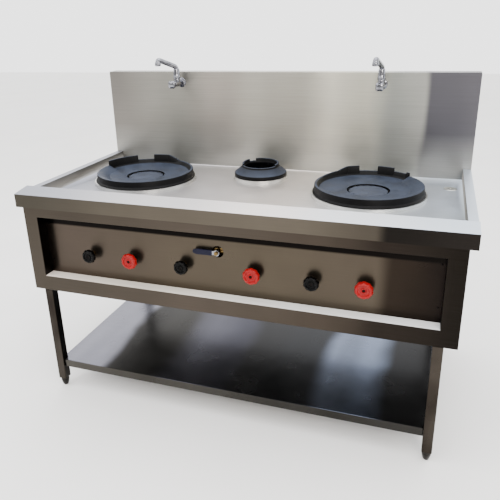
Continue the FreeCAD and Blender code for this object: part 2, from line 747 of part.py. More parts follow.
def left_crown(seat, outer_radius):
    """Walls of the left ring: a long level lug to the left of the notch, a short falling one to its right."""
    left = 90 + LEFT_CROWN_TURN_DEG + CROWN_GAP_DEG / 2
    right = left - CROWN_GAP_DEG
    ramp = right - LEFT_SHORT_LUG_DEG
    low = ramp - CROWN_RAMP_DEG
    walls = [
        crown_wall(seat, outer_radius, left, LEFT_LONG_LUG_DEG, CROWN_HEIGHT),
        crown_wall(seat, outer_radius, right, -LEFT_SHORT_LUG_DEG, CROWN_HEIGHT),
        crown_wall(seat, outer_radius, ramp, -CROWN_RAMP_DEG, CROWN_HEIGHT, CROWN_LOW_HEIGHT),
        crown_wall(seat, outer_radius, low, -LEFT_LOW_WALL_DEG, CROWN_LOW_HEIGHT, RIM_HEIGHT),
    ]
    return walls, left + LEFT_LONG_LUG_DEG


def right_crown(seat, outer_radius):
    """Walls of the right ring: two level lugs, a low wall to the left and a low wall with a tooth to the right."""
    left = 90 + RIGHT_CROWN_TURN_DEG + CROWN_GAP_DEG / 2
    right = left - CROWN_GAP_DEG
    ramp = left + RIGHT_SHORT_LUG_DEG
    low = ramp + CROWN_RAMP_DEG
    step = right - RIGHT_LONG_LUG_DEG
    tooth = step - RIGHT_TOOTH_LOW_DEG
    walls = [
        crown_wall(seat, outer_radius, left, RIGHT_SHORT_LUG_DEG, CROWN_HEIGHT),
        crown_wall(seat, outer_radius, ramp, CROWN_RAMP_DEG, CROWN_HEIGHT, CROWN_LOW_HEIGHT),
        crown_wall(seat, outer_radius, low, RIGHT_LOW_WALL_DEG, CROWN_LOW_HEIGHT, RIM_HEIGHT),
        crown_wall(seat, outer_radius, right, -RIGHT_LONG_LUG_DEG, CROWN_HEIGHT),
        crown_wall(seat, outer_radius, step, -RIGHT_TOOTH_LOW_DEG, CROWN_LOW_HEIGHT),
        crown_wall(seat, outer_radius, tooth, -CROWN_TOOTH_DEG, CROWN_TOOTH_HEIGHT),
    ]
    return walls, tooth - CROWN_TOOTH_DEG - SPILL_LIP_DEG


def wok_ring(place, crown):
    """Cast ring: stepped foot, low rim, dished floor round the flame opening, notched rear wall and spill lip."""
    r = place.ring_radius
    rim_outer = r - 8
    rim_inner = rim_outer - RIM_WIDTH
    dish_edge = rim_inner - 11
    floor_z = RIM_HEIGHT - DISH_DEPTH
    lip = ring_lip(place)
    outline = [
        (r, 0, 0),
        (r, 7, 0),
        (rim_outer + 1.5, 10, 0),
        (rim_outer, RIM_HEIGHT, 3),
        (rim_inner, RIM_HEIGHT, 0),
        (dish_edge, floor_z, 0),
        (RING_OPENING_RADIUS, floor_z - DISH_SLOPE, 0),
        (RING_OPENING_RADIUS, floor_z - DISH_SLOPE - CASTING_WALL, 0),
        (lip[0][0], floor_z - CASTING_WALL, 0),
        *lip,
    ]
    seat = Vector(place.x, place.y, SEAT_Z)
    ring = turned(outline, seat)
    walls, lip_start_deg = crown(seat, rim_outer - 1)
    return joined([ring, spill_lip(seat, rim_inner, dish_edge, lip_start_deg)] + walls)


def stock_pot_ring():
    """Cast cone with a toothed crown for a round-bottomed pan or a stock pot."""
    r = CENTRE.ring_radius
    lip = ring_lip(CENTRE)
    bore = CONE_TOP_RADIUS - POT_LUG_WALL - CASTING_WALL
    outline = [
        (r, 0, 0),
        (r, CONE_FOOT_HEIGHT, 0),
        (r - 5, CONE_FOOT_HEIGHT + 3, 0),
        (CONE_TOP_RADIUS, CONE_HEIGHT, 0),
        (CONE_TOP_RADIUS - 1, CONE_HEIGHT + 2, 0),
        (bore, CONE_HEIGHT + 2, 0),
        (bore, CONE_HEIGHT - CASTING_WALL, 0),
        (lip[0][0], CONE_FOOT_HEIGHT - CASTING_WALL, 0),
        *lip,
    ]
    seat = Vector(CENTRE.x, CENTRE.y, SEAT_Z)
    cone = turned(outline, seat)
    lug_outline = [
        (CONE_TOP_RADIUS - POT_LUG_WALL - 5, CONE_HEIGHT, 0),
        (CONE_TOP_RADIUS - 1, CONE_HEIGHT, 0),
        (CONE_TOP_RADIUS - 2, POT_LUG_HEIGHT, 0),
        (CONE_TOP_RADIUS - POT_LUG_WALL, POT_LUG_HEIGHT, 0),
    ]
    pitch_deg = 360.0 / POT_LUG_COUNT
    lug = turned(lug_outline, seat, UP, pitch_deg - POT_LUG_GAP_DEG)
    first_deg = pitch_deg / 2 + POT_LUG_GAP_DEG / 2
    return joined([cone] + ring_of(lug, POT_LUG_COUNT, seat, UP, first_deg))


def burner(place):
    """Cast burner: slotted head on a cup, neck seated on the bridge, elbow and bell-mouthed mixing tube."""
    seat = Vector(place.x, place.y, SEAT_Z)
    rim_z = place.head_lift
    head_radius = place.head_radius
    cup_z = rim_z - HEAD_THICKNESS - HEAD_CUP_DEPTH
    flange_z = BRIDGE_TOP - SEAT_Z
    head_outline = [
        (0, flange_z, 0),
        (NECK_FLANGE_RADIUS, flange_z, 0),
        (NECK_FLANGE_RADIUS, flange_z + NECK_FLANGE_THICKNESS, 0),
        (NECK_RADIUS, flange_z + NECK_FLANGE_THICKNESS, 0),
        (NECK_RADIUS, cup_z, 0),
        (head_radius - 6, rim_z - HEAD_THICKNESS, 0),
        (head_radius, rim_z - HEAD_THICKNESS + 2, 0),
        (head_radius, rim_z, 0),
        (0, rim_z + HEAD_DOME, 0),
    ]
    head = turned(head_outline, seat)
    slot = box(
        (place.x + head_radius - PORT_DEPTH, place.x + head_radius + 1),
        (place.y - PORT_WIDTH / 2, place.y + PORT_WIDTH / 2),
        (SEAT_Z + rim_z - 4, SEAT_Z + rim_z + HEAD_DOME + 1),
    )
    head = head.cut(ring_of(slot, PORT_COUNT, seat, UP))
    mixer = tube(
        [
            Vector(place.x, place.y, BRIDGE_TOP + 1),
            Vector(place.x, place.y, MIXER_HEIGHT),
            Vector(place.x, MIXER_MOUTH_Y, MIXER_HEIGHT),
        ],
        MIXER_BEND,
        NECK_RADIUS,
    )
    mouth = Vector(place.x, MIXER_MOUTH_Y, MIXER_HEIGHT)
    bell = turned(
        [
            (0, 0, 0),
            (MIXER_MOUTH_RADIUS - 5, 0, 0),
            (MIXER_MOUTH_RADIUS - 5, 2, 0),
            (MIXER_MOUTH_RADIUS, 2, 0),
            (MIXER_MOUTH_RADIUS, 8, 0),
            (NECK_RADIUS, MIXER_MOUTH_LENGTH, 0),
            (0, MIXER_MOUTH_LENGTH, 0),
        ],
        mouth,
        TO_BACK,
    )
    throat = Part.makeCone(MIXER_MOUTH_RADIUS - 8, NECK_RADIUS - 5, MIXER_MOUTH_LENGTH, mouth, TO_BACK)
    return joined([head, mixer, bell]).cut(throat)


# ---------------------------------------------------------------- gas line and controls
def gas_rail():
    """Gas pipe across the back of the panel with a socket for each valve, turned back to the rear inlet."""
    start = Vector(KNOB_XS[0] - RAIL_END_MARGIN, RAIL_Y, KNOB_HEIGHT)
    corner = Vector(GAS_INLET_X, RAIL_Y, KNOB_HEIGHT)
    end = Vector(GAS_INLET_X, INLET_Y, KNOB_HEIGHT)
    pipe = tube([start, corner, end - TO_BACK * NIPPLE_LENGTH], GAS_BEND, RAIL_RADIUS)
    nipple = rod(RAIL_RADIUS - NIPPLE_STEP, end, -TO_BACK, NIPPLE_LENGTH)
    sockets = []
    for x in KNOB_XS:
        axis_point = Vector(x, RAIL_Y, KNOB_HEIGHT)
        sockets.append(rod(RAIL_SOCKET_RADIUS, axis_point, -TO_BACK, RAIL_SOCKET_REACH))
    inlet_bore = rod(RAIL_RADIUS - PIPE_WALL, end - TO_BACK * INLET_BORE_DEPTH, TO_BACK, INLET_BORE_DEPTH)
    return joined([pipe, nipple] + sockets).cut(inlet_bore)


def valve(x, outlet_direction):
    """Brass gas valve between a rail socket and the panel, its nose through the panel."""
    axis_point = Vector(x, PANEL_Y, KNOB_HEIGHT)
    tail = RAIL_SETBACK - RAIL_SOCKET_REACH
    outline = [
        (0, -NOSE_FRONT, 0),
        (NOSE_RADIUS, -NOSE_FRONT, 0),
        (NOSE_RADIUS, SHEET, 0),
        (VALVE_SHOULDER_RADIUS, SHEET, 0),
        (VALVE_SHOULDER_RADIUS, VALVE_SHOULDER_END, 0),
        (VALVE_RADIUS, VALVE_BODY_START, 0),
        (VALVE_RADIUS, tail - 7, 0),
        (NOSE_RADIUS, tail - 7, 0),
        (NOSE_RADIUS, tail, 0),
        (0, tail, 0),
    ]
    body = turned(outline, axis_point, TO_BACK)
    outlet_start = Vector(x, VALVE_Y, KNOB_HEIGHT)
    outlet = rod(VALVE_OUTLET_RADIUS, outlet_start, outlet_direction, VALVE_OUTLET_DROP)
    bore_start = axis_point - TO_BACK * (NOSE_FRONT + 1)
    bore = rod(SPINDLE_RADIUS + RUNNING_CLEARANCE, bore_start, TO_BACK, NOSE_FRONT + 1 + VALVE_LINE_SETBACK)
    return joined([body, outlet]).cut(bore)


def main_valves():
    """The three burner valves, outlets down."""
    return Part.makeCompound([valve(x, -UP) for x in MAIN_XS])


def pilot_valves():
    """The three pilot valves, outlets up."""
    return Part.makeCompound([valve(x, UP) for x in PILOT_XS])


def gas_feeds():
    """Tubes from the burner valves under the rail to an injector in front of each mixing tube."""
    feeds = []
    for x, place in zip(MAIN_XS, BURNERS):
        outlet = Vector(x, VALVE_Y, KNOB_HEIGHT - VALVE_OUTLET_DROP)
        tip = Vector(place.x, MIXER_MOUTH_Y - INJECTOR_GAP, MIXER_HEIGHT)
        below = Vector(x, VALVE_Y, MIXER_HEIGHT)
        across = Vector(place.x, VALVE_Y, MIXER_HEIGHT)
        feed = tube([outlet, below, across, tip - TO_BACK * INJECTOR_LENGTH], FEED_BEND, FEED_RADIUS)
        injector = turned(
            [
                (0, -INJECTOR_LENGTH, 0),
                (INJECTOR_RADIUS, -INJECTOR_LENGTH, 0),
                (INJECTOR_RADIUS, 0, 0),
                (INJECTOR_TIP_RADIUS, INJECTOR_GAP + 4, 0),
                (0, INJECTOR_GAP + 4, 0),
            ],
            tip,
            TO_BACK,
        )
        feeds.append(joined([feed, injector]))
    return Part.makeCompound(feeds)


def pilot_tubes():
    """Thin tubes from the pilot valves under each well and up beside the burner head."""
    tubes = []
    for x, place in zip(PILOT_XS, BURNERS):
        offset = (place.head_radius + PILOT_CLEARANCE) / math.sqrt(2)
        foot_x, foot_y = place.x + offset, place.y - offset
        if foot_y > place.y - BRIDGE_WIDTH / 2 - PILOT_CLEARANCE:
            foot_y = place.y - BRIDGE_WIDTH / 2 - PILOT_CLEARANCE
            reach = place.head_radius + PILOT_CLEARANCE
            foot_x = place.x + math.sqrt(reach**2 - (foot_y - place.y) ** 2)
        points = [
            Vector(x, VALVE_Y, KNOB_HEIGHT + VALVE_OUTLET_DROP),
            Vector(x, VALVE_Y, PILOT_TUBE_HEIGHT),
            Vector(foot_x, foot_y, PILOT_TUBE_HEIGHT),
            Vector(foot_x, foot_y, SEAT_Z + place.head_lift),
        ]
        tubes.append(tube(points, PILOT_TUBE_BEND, PILOT_TUBE_RADIUS))
    return Part.makeCompound(tubes)


def panel_nuts():
    """Hexagon nuts that clamp the six valve noses to the panel."""
    nuts = []
    for x in KNOB_XS:
        start = Vector(x, PANEL_Y, KNOB_HEIGHT)
        blank = hexagon(PANEL_NUT_RADIUS, start, -TO_BACK, PANEL_NUT_THICKNESS)
        hole = rod(NOSE_RADIUS + RUNNING_CLEARANCE, start, -TO_BACK, PANEL_NUT_THICKNESS)
        nuts.append(blank.cut(hole))
    return Part.makeCompound(nuts)


def spindle(x):
    """Valve spindle from inside the valve to inside the knob."""
    tail = VALVE_LINE_SETBACK - 2
    start = Vector(x, PANEL_Y + tail, KNOB_HEIGHT)
    return rod(SPINDLE_RADIUS, start, -TO_BACK, tail + SPINDLE_FRONT)


def knob(x, radius):
    """Round fluted knob with a dished face, a hub behind and a blind bore for the spindle."""
    axis_point = Vector(x, PANEL_Y, KNOB_HEIGHT)
    face = KNOB_FRONT
    dish_radius = radius - 12
    outline = [
        (0, KNOB_HUB_START, 0),
        (KNOB_HUB_RADIUS, KNOB_HUB_START, 0),
        (KNOB_HUB_RADIUS, KNOB_BACK, 0),
        (radius - 4, KNOB_BACK, 0),
        (radius, KNOB_BACK + 9, 8),
        (radius - 5, face, 4),
        (dish_radius + 3, face, 0),
        (dish_radius - 5, face - KNOB_DISH_DEPTH, 0),
        (0, face - KNOB_DISH_DEPTH, 0),
    ]
    body = turned([(r, -d, rounding) for r, d, rounding in outline], axis_point, TO_BACK)
    flute_x = radius + KNOB_FLUTE_RADIUS - KNOB_FLUTE_DEPTH
    flute_start = axis_point + Vector(flute_x, -KNOB_HUB_START, 0)
    flute = rod(KNOB_FLUTE_RADIUS, flute_start, -TO_BACK, KNOB_FRONT)
    flutes = ring_of(flute, KNOB_FLUTES, axis_point, TO_BACK)
    bore_start = axis_point - TO_BACK * (KNOB_HUB_START - 1)
    bore_length = SPINDLE_FRONT + RUNNING_CLEARANCE - KNOB_HUB_START + 1
    bore = rod(SPINDLE_RADIUS + RUNNING_CLEARANCE, bore_start, -TO_BACK, bore_length)
    return body.cut(flutes + [bore])


# ---------------------------------------------------------------- water line
def stop_valve_centre():
    """Centre of the stop valve's ball."""
    return Vector(STOP_VALVE_X, VALVE_Y, STOP_VALVE_HEIGHT)


def ball_valve_body():
    """Brass body in the water line: barrel, hexagon ends, ball chamber and a gland through the panel."""
    centre = stop_valve_centre()
    half, barrel_half = STOP_VALVE_HALF_LENGTH, STOP_VALVE_BARREL_HALF
    gland_length = VALVE_LINE_SETBACK + GLAND_FRONT
    barrel = rod(STOP_VALVE_RADIUS, centre - TO_RIGHT * barrel_half, TO_RIGHT, 2 * barrel_half)
    ends = hexagon(STOP_VALVE_END_RADIUS, centre - TO_RIGHT * half, TO_RIGHT, 2 * half)
    gland = rod(GLAND_RADIUS, centre, -TO_BACK, gland_length)
    waterway = rod(BALL_BORE_RADIUS, centre - TO_RIGHT * (half + 1), TO_RIGHT, 2 * half + 2)
    chamber = Part.makeSphere(BALL_RADIUS + RUNNING_CLEARANCE, centre, TO_RIGHT)
    stem_hole = rod(SPINDLE_RADIUS + RUNNING_CLEARANCE, centre, -TO_BACK, gland_length + 1)
    return joined([barrel, ends, gland]).cut([waterway, chamber, stem_hole])


def lever_back_y():
    """Rear face of the lever's strip."""
    return PANEL_Y - GLAND_FRONT - SEAM_GAP


def ball_valve_stem():
    """Drilled ball, its stem and the nut that holds the lever."""
    centre = stop_valve_centre()
    nut_back = lever_back_y() - LEVER_THICKNESS
    stem_length = VALVE_Y - nut_back + LEVER_NUT_THICKNESS + 1
    ball = Part.makeSphere(BALL_RADIUS, centre, TO_RIGHT)
    stem = rod(SPINDLE_RADIUS, centre, -TO_BACK, stem_length)
    nut = hexagon(
        LEVER_NUT_RADIUS, Vector(STOP_VALVE_X, nut_back, STOP_VALVE_HEIGHT), -TO_BACK, LEVER_NUT_THICKNESS
    )
    waterway = rod(BALL_BORE_RADIUS, centre - TO_RIGHT * BALL_RADIUS, TO_RIGHT, 2 * BALL_RADIUS)
    return joined([ball.cut(waterway), stem.cut(waterway), nut])


def ball_valve_lever():
    """Flat steel lever with a round boss on the stem, pointing left."""
    back = lever_back_y()
    pivot = Vector(STOP_VALVE_X, back, STOP_VALVE_HEIGHT)
    boss = rod(LEVER_BOSS_RADIUS, pivot, -TO_BACK, LEVER_THICKNESS)
    strip = box(
        (STOP_VALVE_X - LEVER_LENGTH, STOP_VALVE_X),
        (back - LEVER_THICKNESS, back),
        (STOP_VALVE_HEIGHT - LEVER_WIDTH / 2, STOP_VALVE_HEIGHT + LEVER_WIDTH / 2),
    )
    hole = rod(SPINDLE_RADIUS + RUNNING_CLEARANCE, pivot + TO_BACK, -TO_BACK, LEVER_THICKNESS + 2)
    return joined([boss, strip]).cut(hole)


def lever_sleeve():
    """Soft sleeve on the lever, slotted for the strip and closed at its outer end."""
    middle = lever_back_y() - LEVER_THICKNESS / 2
    block = box(
        (STOP_VALVE_X - SLEEVE_END, STOP_VALVE_X - SLEEVE_START),
        (middle - SLEEVE_THICKNESS / 2, middle + SLEEVE_THICKNESS / 2),
        (STOP_VALVE_HEIGHT - SLEEVE_WIDTH / 2, STOP_VALVE_HEIGHT + SLEEVE_WIDTH / 2),
    )
    tip_x = STOP_VALVE_X - LEVER_LENGTH
    across = [edge for edge in block.Edges if abs(edge.tangentAt(edge.FirstParameter).y) > 0.9]
    outer_corners = [edge for edge in across if edge.CenterOfMass.x < tip_x]
    block = block.makeFillet(SLEEVE_WIDTH / 2 - 1, outer_corners)
    long_edges = [edge for edge in block.Edges if abs(edge.tangentAt(edge.FirstParameter).x) > 0.9]
    block = block.makeChamfer(2, long_edges)
    slot = box(
        (STOP_VALVE_X - LEVER_LENGTH, STOP_VALVE_X - SLEEVE_START + 1),
        (middle - LEVER_THICKNESS / 2, middle + LEVER_THICKNESS / 2),
        (STOP_VALVE_HEIGHT - LEVER_WIDTH / 2, STOP_VALVE_HEIGHT + LEVER_WIDTH / 2),
    )
    return block.cut(slot)


def water_inlet_pipe():
    """Water pipe from the rear inlet along the left side and across to the stop valve."""
    inlet = Vector(-WATER_PIPE_X, INLET_Y, STOP_VALVE_HEIGHT)
    corner = Vector(-WATER_PIPE_X, VALVE_Y, STOP_VALVE_HEIGHT)
    end = Vector(STOP_VALVE_X - STOP_VALVE_HALF_LENGTH, VALVE_Y, STOP_VALVE_HEIGHT)
    pipe = tube([inlet - TO_BACK * NIPPLE_LENGTH, corner, end], WATER_PIPE_BEND, WATER_PIPE_RADIUS)
    nipple = rod(WATER_PIPE_RADIUS - NIPPLE_STEP, inlet, -TO_BACK, NIPPLE_LENGTH)
    inlet_bore = rod(WATER_PIPE_RADIUS - PIPE_WALL, inlet, -TO_BACK, INLET_BORE_DEPTH)
    return joined([pipe, nipple]).cut(inlet_bore)


def water_riser():
    """Water pipe from the stop valve round the right side, up into the splashback and along to both taps."""
    right = WATER_PIPE_X
    tee_left, tee_right = tap_centres()
    points = [
        Vector(STOP_VALVE_X + STOP_VALVE_HALF_LENGTH, VALVE_Y, STOP_VALVE_HEIGHT),
        Vector(right, VALVE_Y, STOP_VALVE_HEIGHT),
        Vector(right, RISER_Y, STOP_VALVE_HEIGHT),
        Vector(right, RISER_Y, TAP_Z),
        Vector(tee_left.x - TAP_TEE_RADIUS, RISER_Y, TAP_Z),
    ]
    pipe = tube(points, WATER_PIPE_BEND, WATER_PIPE_RADIUS)
    tees = []
    for tee in (tee_left, tee_right):
        tees.append(rod(TAP_TEE_RADIUS, Vector(tee.x, RISER_Y, TAP_Z), -TO_BACK, TAP_TEE_REACH))
    return joined([pipe] + tees)


# ---------------------------------------------------------------- taps and drain
def tap_body(centre):
    """Tap cock: tail and nut behind the sheet, rose, barrel, gland and the boss that the spout turns in."""
    tail_end = RISER_Y - TAP_TEE_REACH - SPLASH_Y
    gland_end = TAP_BARREL_LENGTH + TAP_GLAND_LENGTH
    outline = [
        (0, tail_end, 0),
        (TAP_TAIL_RADIUS, tail_end, 0),
        (TAP_TAIL_RADIUS, 0, 0),
        (TAP_ROSE_RADIUS, 0, 0),
        (TAP_ROSE_RADIUS, -TAP_ROSE_THICKNESS / 2, 0),
        (TAP_BARREL_RADIUS, -TAP_ROSE_THICKNESS, 0),
        (TAP_BARREL_RADIUS, -TAP_BARREL_LENGTH, 0),
        (TAP_GLAND_RADIUS, -TAP_BARREL_LENGTH, 0),
        (TAP_GLAND_RADIUS, -gland_end, 0),
        (0, -gland_end, 0),
    ]
    barrel = turned(outline, centre, TO_BACK)
    nut = hexagon(TAP_NUT_RADIUS, centre + TO_BACK * SHEET, TO_BACK, TAP_NUT_THICKNESS)
    pillar_foot = Vector(centre.x, SPOUT_Y, TAP_Z)
    boss = rod(SPOUT_BOSS_RADIUS, pillar_foot, UP, SPOUT_BOSS_HEIGHT)
    socket_start = Vector(centre.x, SPOUT_Y, SPOUT_SEAT_Z - SPOUT_SPIGOT_DEPTH - 1)
    socket = rod(SPOUT_SPIGOT_RADIUS + RUNNING_CLEARANCE, socket_start, UP, SPOUT_SPIGOT_DEPTH + 2)
    stem_start = centre - TO_BACK * (gland_end + 1)
    stem_hole = rod(TAP_STEM_RADIUS + RUNNING_CLEARANCE, stem_start, TO_BACK, TAP_STEM_DEPTH + 2)
    return joined([barrel, nut, boss]).cut([socket, stem_hole])


def tap_spout(centre, turn_deg):
    """Swing spout: tapered foot, rising arm and a turned-down nozzle, turned turn_deg to the left."""
    pivot = Vector(centre.x, SPOUT_Y, SPOUT_SEAT_Z)
    forward = -TO_BACK
    seat_gap = SEAM_GAP / 2
    arm_points = [
        pivot + UP * seat_gap,
        pivot + UP * SPOUT_BEND_HEIGHT,
        pivot + UP * SPOUT_PEAK_HEIGHT + forward * SPOUT_REACH,
        pivot + UP * SPOUT_MOUTH_HEIGHT + forward * SPOUT_REACH,
    ]
    bends = (0, SPOUT_LOW_BEND, SPOUT_TIP_BEND, 0)
    path = Part.Wire(path_edges(list(zip(arm_points, bends)), closed=False))
    section = Part.Wire(Part.Circle(arm_points[0], UP, SPOUT_RADIUS).toShape())
    arm = path.makePipeShell([section], True, False)
    foot_outline = [
        (0, -SPOUT_SPIGOT_DEPTH, 0),
        (SPOUT_SPIGOT_RADIUS, -SPOUT_SPIGOT_DEPTH, 0),
        (SPOUT_SPIGOT_RADIUS, seat_gap, 0),
        (SPOUT_FOOT_RADIUS, seat_gap, 0),
        (SPOUT_FOOT_RADIUS, 9, 0),
        (SPOUT_RADIUS + 1, SPOUT_FOOT_HEIGHT, 0),
        (0, SPOUT_FOOT_HEIGHT, 0),
    ]
    pillar = turned(foot_outline, pivot)
    mouth = arm_points[-1]
    collar = turned(
        [
            (0, 0, 0),
            (SPOUT_RADIUS + 1, 0, 0),
            (SPOUT_RADIUS + 1, SPOUT_BORE_DEPTH, 0),
            (0, SPOUT_BORE_DEPTH, 0),
        ],
        mouth,
    )
    bore = rod(SPOUT_BORE_RADIUS, mouth - UP, UP, SPOUT_BORE_DEPTH)
    spout = joined([arm, pillar, collar]).cut(bore)
    spout.rotate(pivot, UP, -turn_deg)
    return spout


def tap_handle(centre):
    """Lobed handle and the stem that it turns in the gland."""
    front = -(TAP_BARREL_LENGTH + TAP_GLAND_LENGTH)
    back_face = front - 2
    front_face = back_face - TAP_HANDLE_THICKNESS
    outline = [
        (0, front + TAP_STEM_DEPTH, 0),
        (TAP_STEM_RADIUS, front + TAP_STEM_DEPTH, 0),
        (TAP_STEM_RADIUS, back_face, 0),
        (TAP_HANDLE_RADIUS - 4, back_face, 0),
        (TAP_HANDLE_RADIUS, back_face - 6, 4),
        (TAP_HANDLE_RADIUS - 3, front_face + 2, 0),
        (0, front_face, 0),
    ]
    handle = turned(outline, centre, TO_BACK)
    notch_x = TAP_HANDLE_RADIUS + TAP_HANDLE_LOBE_RADIUS - 3
    notch_start = centre + Vector(notch_x, back_face + 1, 0)
    notch = rod(TAP_HANDLE_LOBE_RADIUS, notch_start, -TO_BACK, TAP_HANDLE_THICKNESS + 2)
    return handle.cut(ring_of(notch, TAP_HANDLE_LOBES, centre, TO_BACK))


def drain_fitting():
    """Pan drain: flange with a pierced strainer, nut under the pan and a pipe back to the rear outlet."""
    top = Vector(DRAIN_X, DRAIN_Y, PAN_Z)
    bore_radius = DRAIN_PIPE_RADIUS - DRAIN_WALL
    neck_bottom = -SHEET - 2 * DRAIN_NUT_THICKNESS
    outline = [
        (bore_radius, neck_bottom, 0),
        (DRAIN_PIPE_RADIUS, neck_bottom, 0),
        (DRAIN_PIPE_RADIUS, -SHEET - DRAIN_NUT_THICKNESS, 0),
        (DRAIN_FLANGE_RADIUS - 6, -SHEET - DRAIN_NUT_THICKNESS, 0),
        (DRAIN_FLANGE_RADIUS - 6, -SHEET, 0),
        (DRAIN_PIPE_RADIUS, -SHEET, 0),
        (DRAIN_PIPE_RADIUS, 0, 0),
        (DRAIN_FLANGE_RADIUS, 0, 0),
        (DRAIN_FLANGE_RADIUS - 4, DRAIN_WALL, 0),
        (bore_radius, DRAIN_WALL - 1, 0),
    ]
    fitting = turned(outline, top)
    strainer = rod(bore_radius + 0.5, top - UP * 3, UP, DRAIN_WALL)
    hole = rod(DRAIN_SLOT_RADIUS, top + Vector(bore_radius / 2 + 1, 0, -4), UP, 6)
    outlet = Vector(DRAIN_X, INLET_Y, DRAIN_OUTLET_Z)
    corner = Vector(DRAIN_X, DRAIN_Y, DRAIN_OUTLET_Z)
    route = [top + UP * neck_bottom, corner, outlet - TO_BACK * NIPPLE_LENGTH]
    pipe = tube(route, DRAIN_BEND, DRAIN_PIPE_RADIUS)
    nipple = rod(DRAIN_TAIL_RADIUS, outlet, -TO_BACK, NIPPLE_LENGTH)
    waterway = tube([route[0] + UP, corner, outlet + TO_BACK], DRAIN_BEND, DRAIN_TAIL_RADIUS - DRAIN_WALL)
    pierced = joined([fitting, strainer]).cut(ring_of(hole, DRAIN_SLOTS, top, UP))
    return joined([pierced, joined([pipe, nipple]).cut(waterway)])


# ---------------------------------------------------------------- output
def build_parts():
    """All sub-parts by node name."""
    tap_left, tap_right = tap_centres()
    parts = {
        "worktop": worktop(),
        "splashback": splashback(),
        "splashback_cover": splashback_cover(),
        "front_frame": front_frame(),
        "control_panel": control_panel(),
        "side_panel_left": side_panel(-1),
        "side_panel_right": side_panel(1),
        "back_panel": back_panel(),
        "base_tray": base_tray(),
        "undershelf": undershelf(),
        "shelf_stiffeners": shelf_stiffeners(),
        "wok_ring_left": wok_ring(LEFT, left_crown),
        "wok_ring_right": wok_ring(RIGHT, right_crown),
        "stock_pot_ring": stock_pot_ring(),
        "gas_rail": gas_rail(),
        "main_valves": main_valves(),
        "pilot_valves": pilot_valves(),
        "gas_feeds": gas_feeds(),
        "pilot_tubes": pilot_tubes(),
        "panel_nuts": panel_nuts(),
        "ball_valve_body": ball_valve_body(),
        "ball_valve_stem": ball_valve_stem(),
        "ball_valve_lever": ball_valve_lever(),
        "lever_sleeve": lever_sleeve(),
        "water_inlet_pipe": water_inlet_pipe(),
        "water_riser": water_riser(),
        "tap_body_left": tap_body(tap_left),
        "tap_body_right": tap_body(tap_right),
        "tap_spout_left": tap_spout(tap_left, LEFT_SPOUT_TURN_DEG),
        "tap_spout_right": tap_spout(tap_right, RIGHT_SPOUT_TURN_DEG),
        "tap_handle_left": tap_handle(tap_left),
        "tap_handle_right": tap_handle(tap_right),
        "drain_fitting": drain_fitting(),
    }
    for place, main_x, pilot_x in zip(BURNERS, MAIN_XS, PILOT_XS):
        parts[f"burner_well_{place.name}"] = burner_well(place)
        parts[f"burner_{place.name}"] = burner(place)
        parts[f"main_knob_{place.name}"] = knob(main_x, MAIN_KNOB_RADIUS)
        parts[f"main_spindle_{place.name}"] = spindle(main_x)
        parts[f"pilot_knob_{place.name}"] = knob(pilot_x, PILOT_KNOB_RADIUS)
        parts[f"pilot_spindle_{place.name}"] = spindle(pilot_x)
    for end, end_name in ((-1, "front"), (1, "rear")):
        for side, side_name in ((-1, "left"), (1, "right")):
            parts[f"leg_{end_name}_{side_name}"] = leg(side, end)
            parts[f"foot_{end_name}_{side_name}"] = foot(side, end)
    return parts


def main():
    """Write one STEP file for each sub-part."""
    os.makedirs("parts", exist_ok=True)
    for name, shape in build_parts().items():
        if not shape.isValid():
            raise ValueError(f"{name} is not a valid shape")
        shape.exportStep(f"parts/{name}.step")


main()
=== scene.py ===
"""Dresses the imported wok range: rounded sheets, cast rings, moulded knobs, chromed taps, studio."""

import logging
import math
from collections.abc import Mapping, Sequence
from dataclasses import dataclass, field
from enum import Enum
from typing import Any

import bpy
from mathutils import Matrix, Vector


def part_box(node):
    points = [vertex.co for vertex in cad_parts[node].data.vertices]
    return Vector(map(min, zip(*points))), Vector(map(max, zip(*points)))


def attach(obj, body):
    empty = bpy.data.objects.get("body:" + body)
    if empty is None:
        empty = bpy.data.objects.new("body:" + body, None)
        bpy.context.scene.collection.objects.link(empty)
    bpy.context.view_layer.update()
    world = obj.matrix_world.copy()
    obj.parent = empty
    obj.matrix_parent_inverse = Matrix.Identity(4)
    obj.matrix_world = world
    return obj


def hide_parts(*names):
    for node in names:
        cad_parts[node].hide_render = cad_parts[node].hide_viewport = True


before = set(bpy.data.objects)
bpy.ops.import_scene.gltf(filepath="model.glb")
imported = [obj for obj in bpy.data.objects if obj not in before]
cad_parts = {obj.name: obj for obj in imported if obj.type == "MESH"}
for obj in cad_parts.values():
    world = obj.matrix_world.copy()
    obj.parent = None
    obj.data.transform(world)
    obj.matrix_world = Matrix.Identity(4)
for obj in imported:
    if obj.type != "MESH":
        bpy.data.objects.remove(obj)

LOG = logging.getLogger("wok_range")
MM = 0.001
WELD = 1e-6  # Metres within which two points are one.
SMOOTH_DEG = 40.0  # Folds below this angle are shaded smooth.
NOISE_ROUGHNESS = 0.55  # Share of the finer noise in each octave.
NOISE_RANGE = (0.3, 0.7)  # Values between which nearly all noise lies.
FACING_RANGE = (0.6, 0.95)  # Parts of a normal between which a face turns to a side.
ACROSS = 0.25  # Quarter turn, which lays the highlights across the brush lines.
Tree = bpy.types.NodeTree
Node = bpy.types.Node
Socket = bpy.types.NodeSocket
Piece = bpy.types.Object
Mesh = bpy.types.Mesh
Edge = bpy.types.MeshEdge
Face = bpy.types.MeshPolygon
Inputs = Mapping[str | int, Any]
Profile = Sequence[tuple[float, float]]
Columns = tuple[tuple[float, str], ...]
Layer = tuple[Socket, Any]


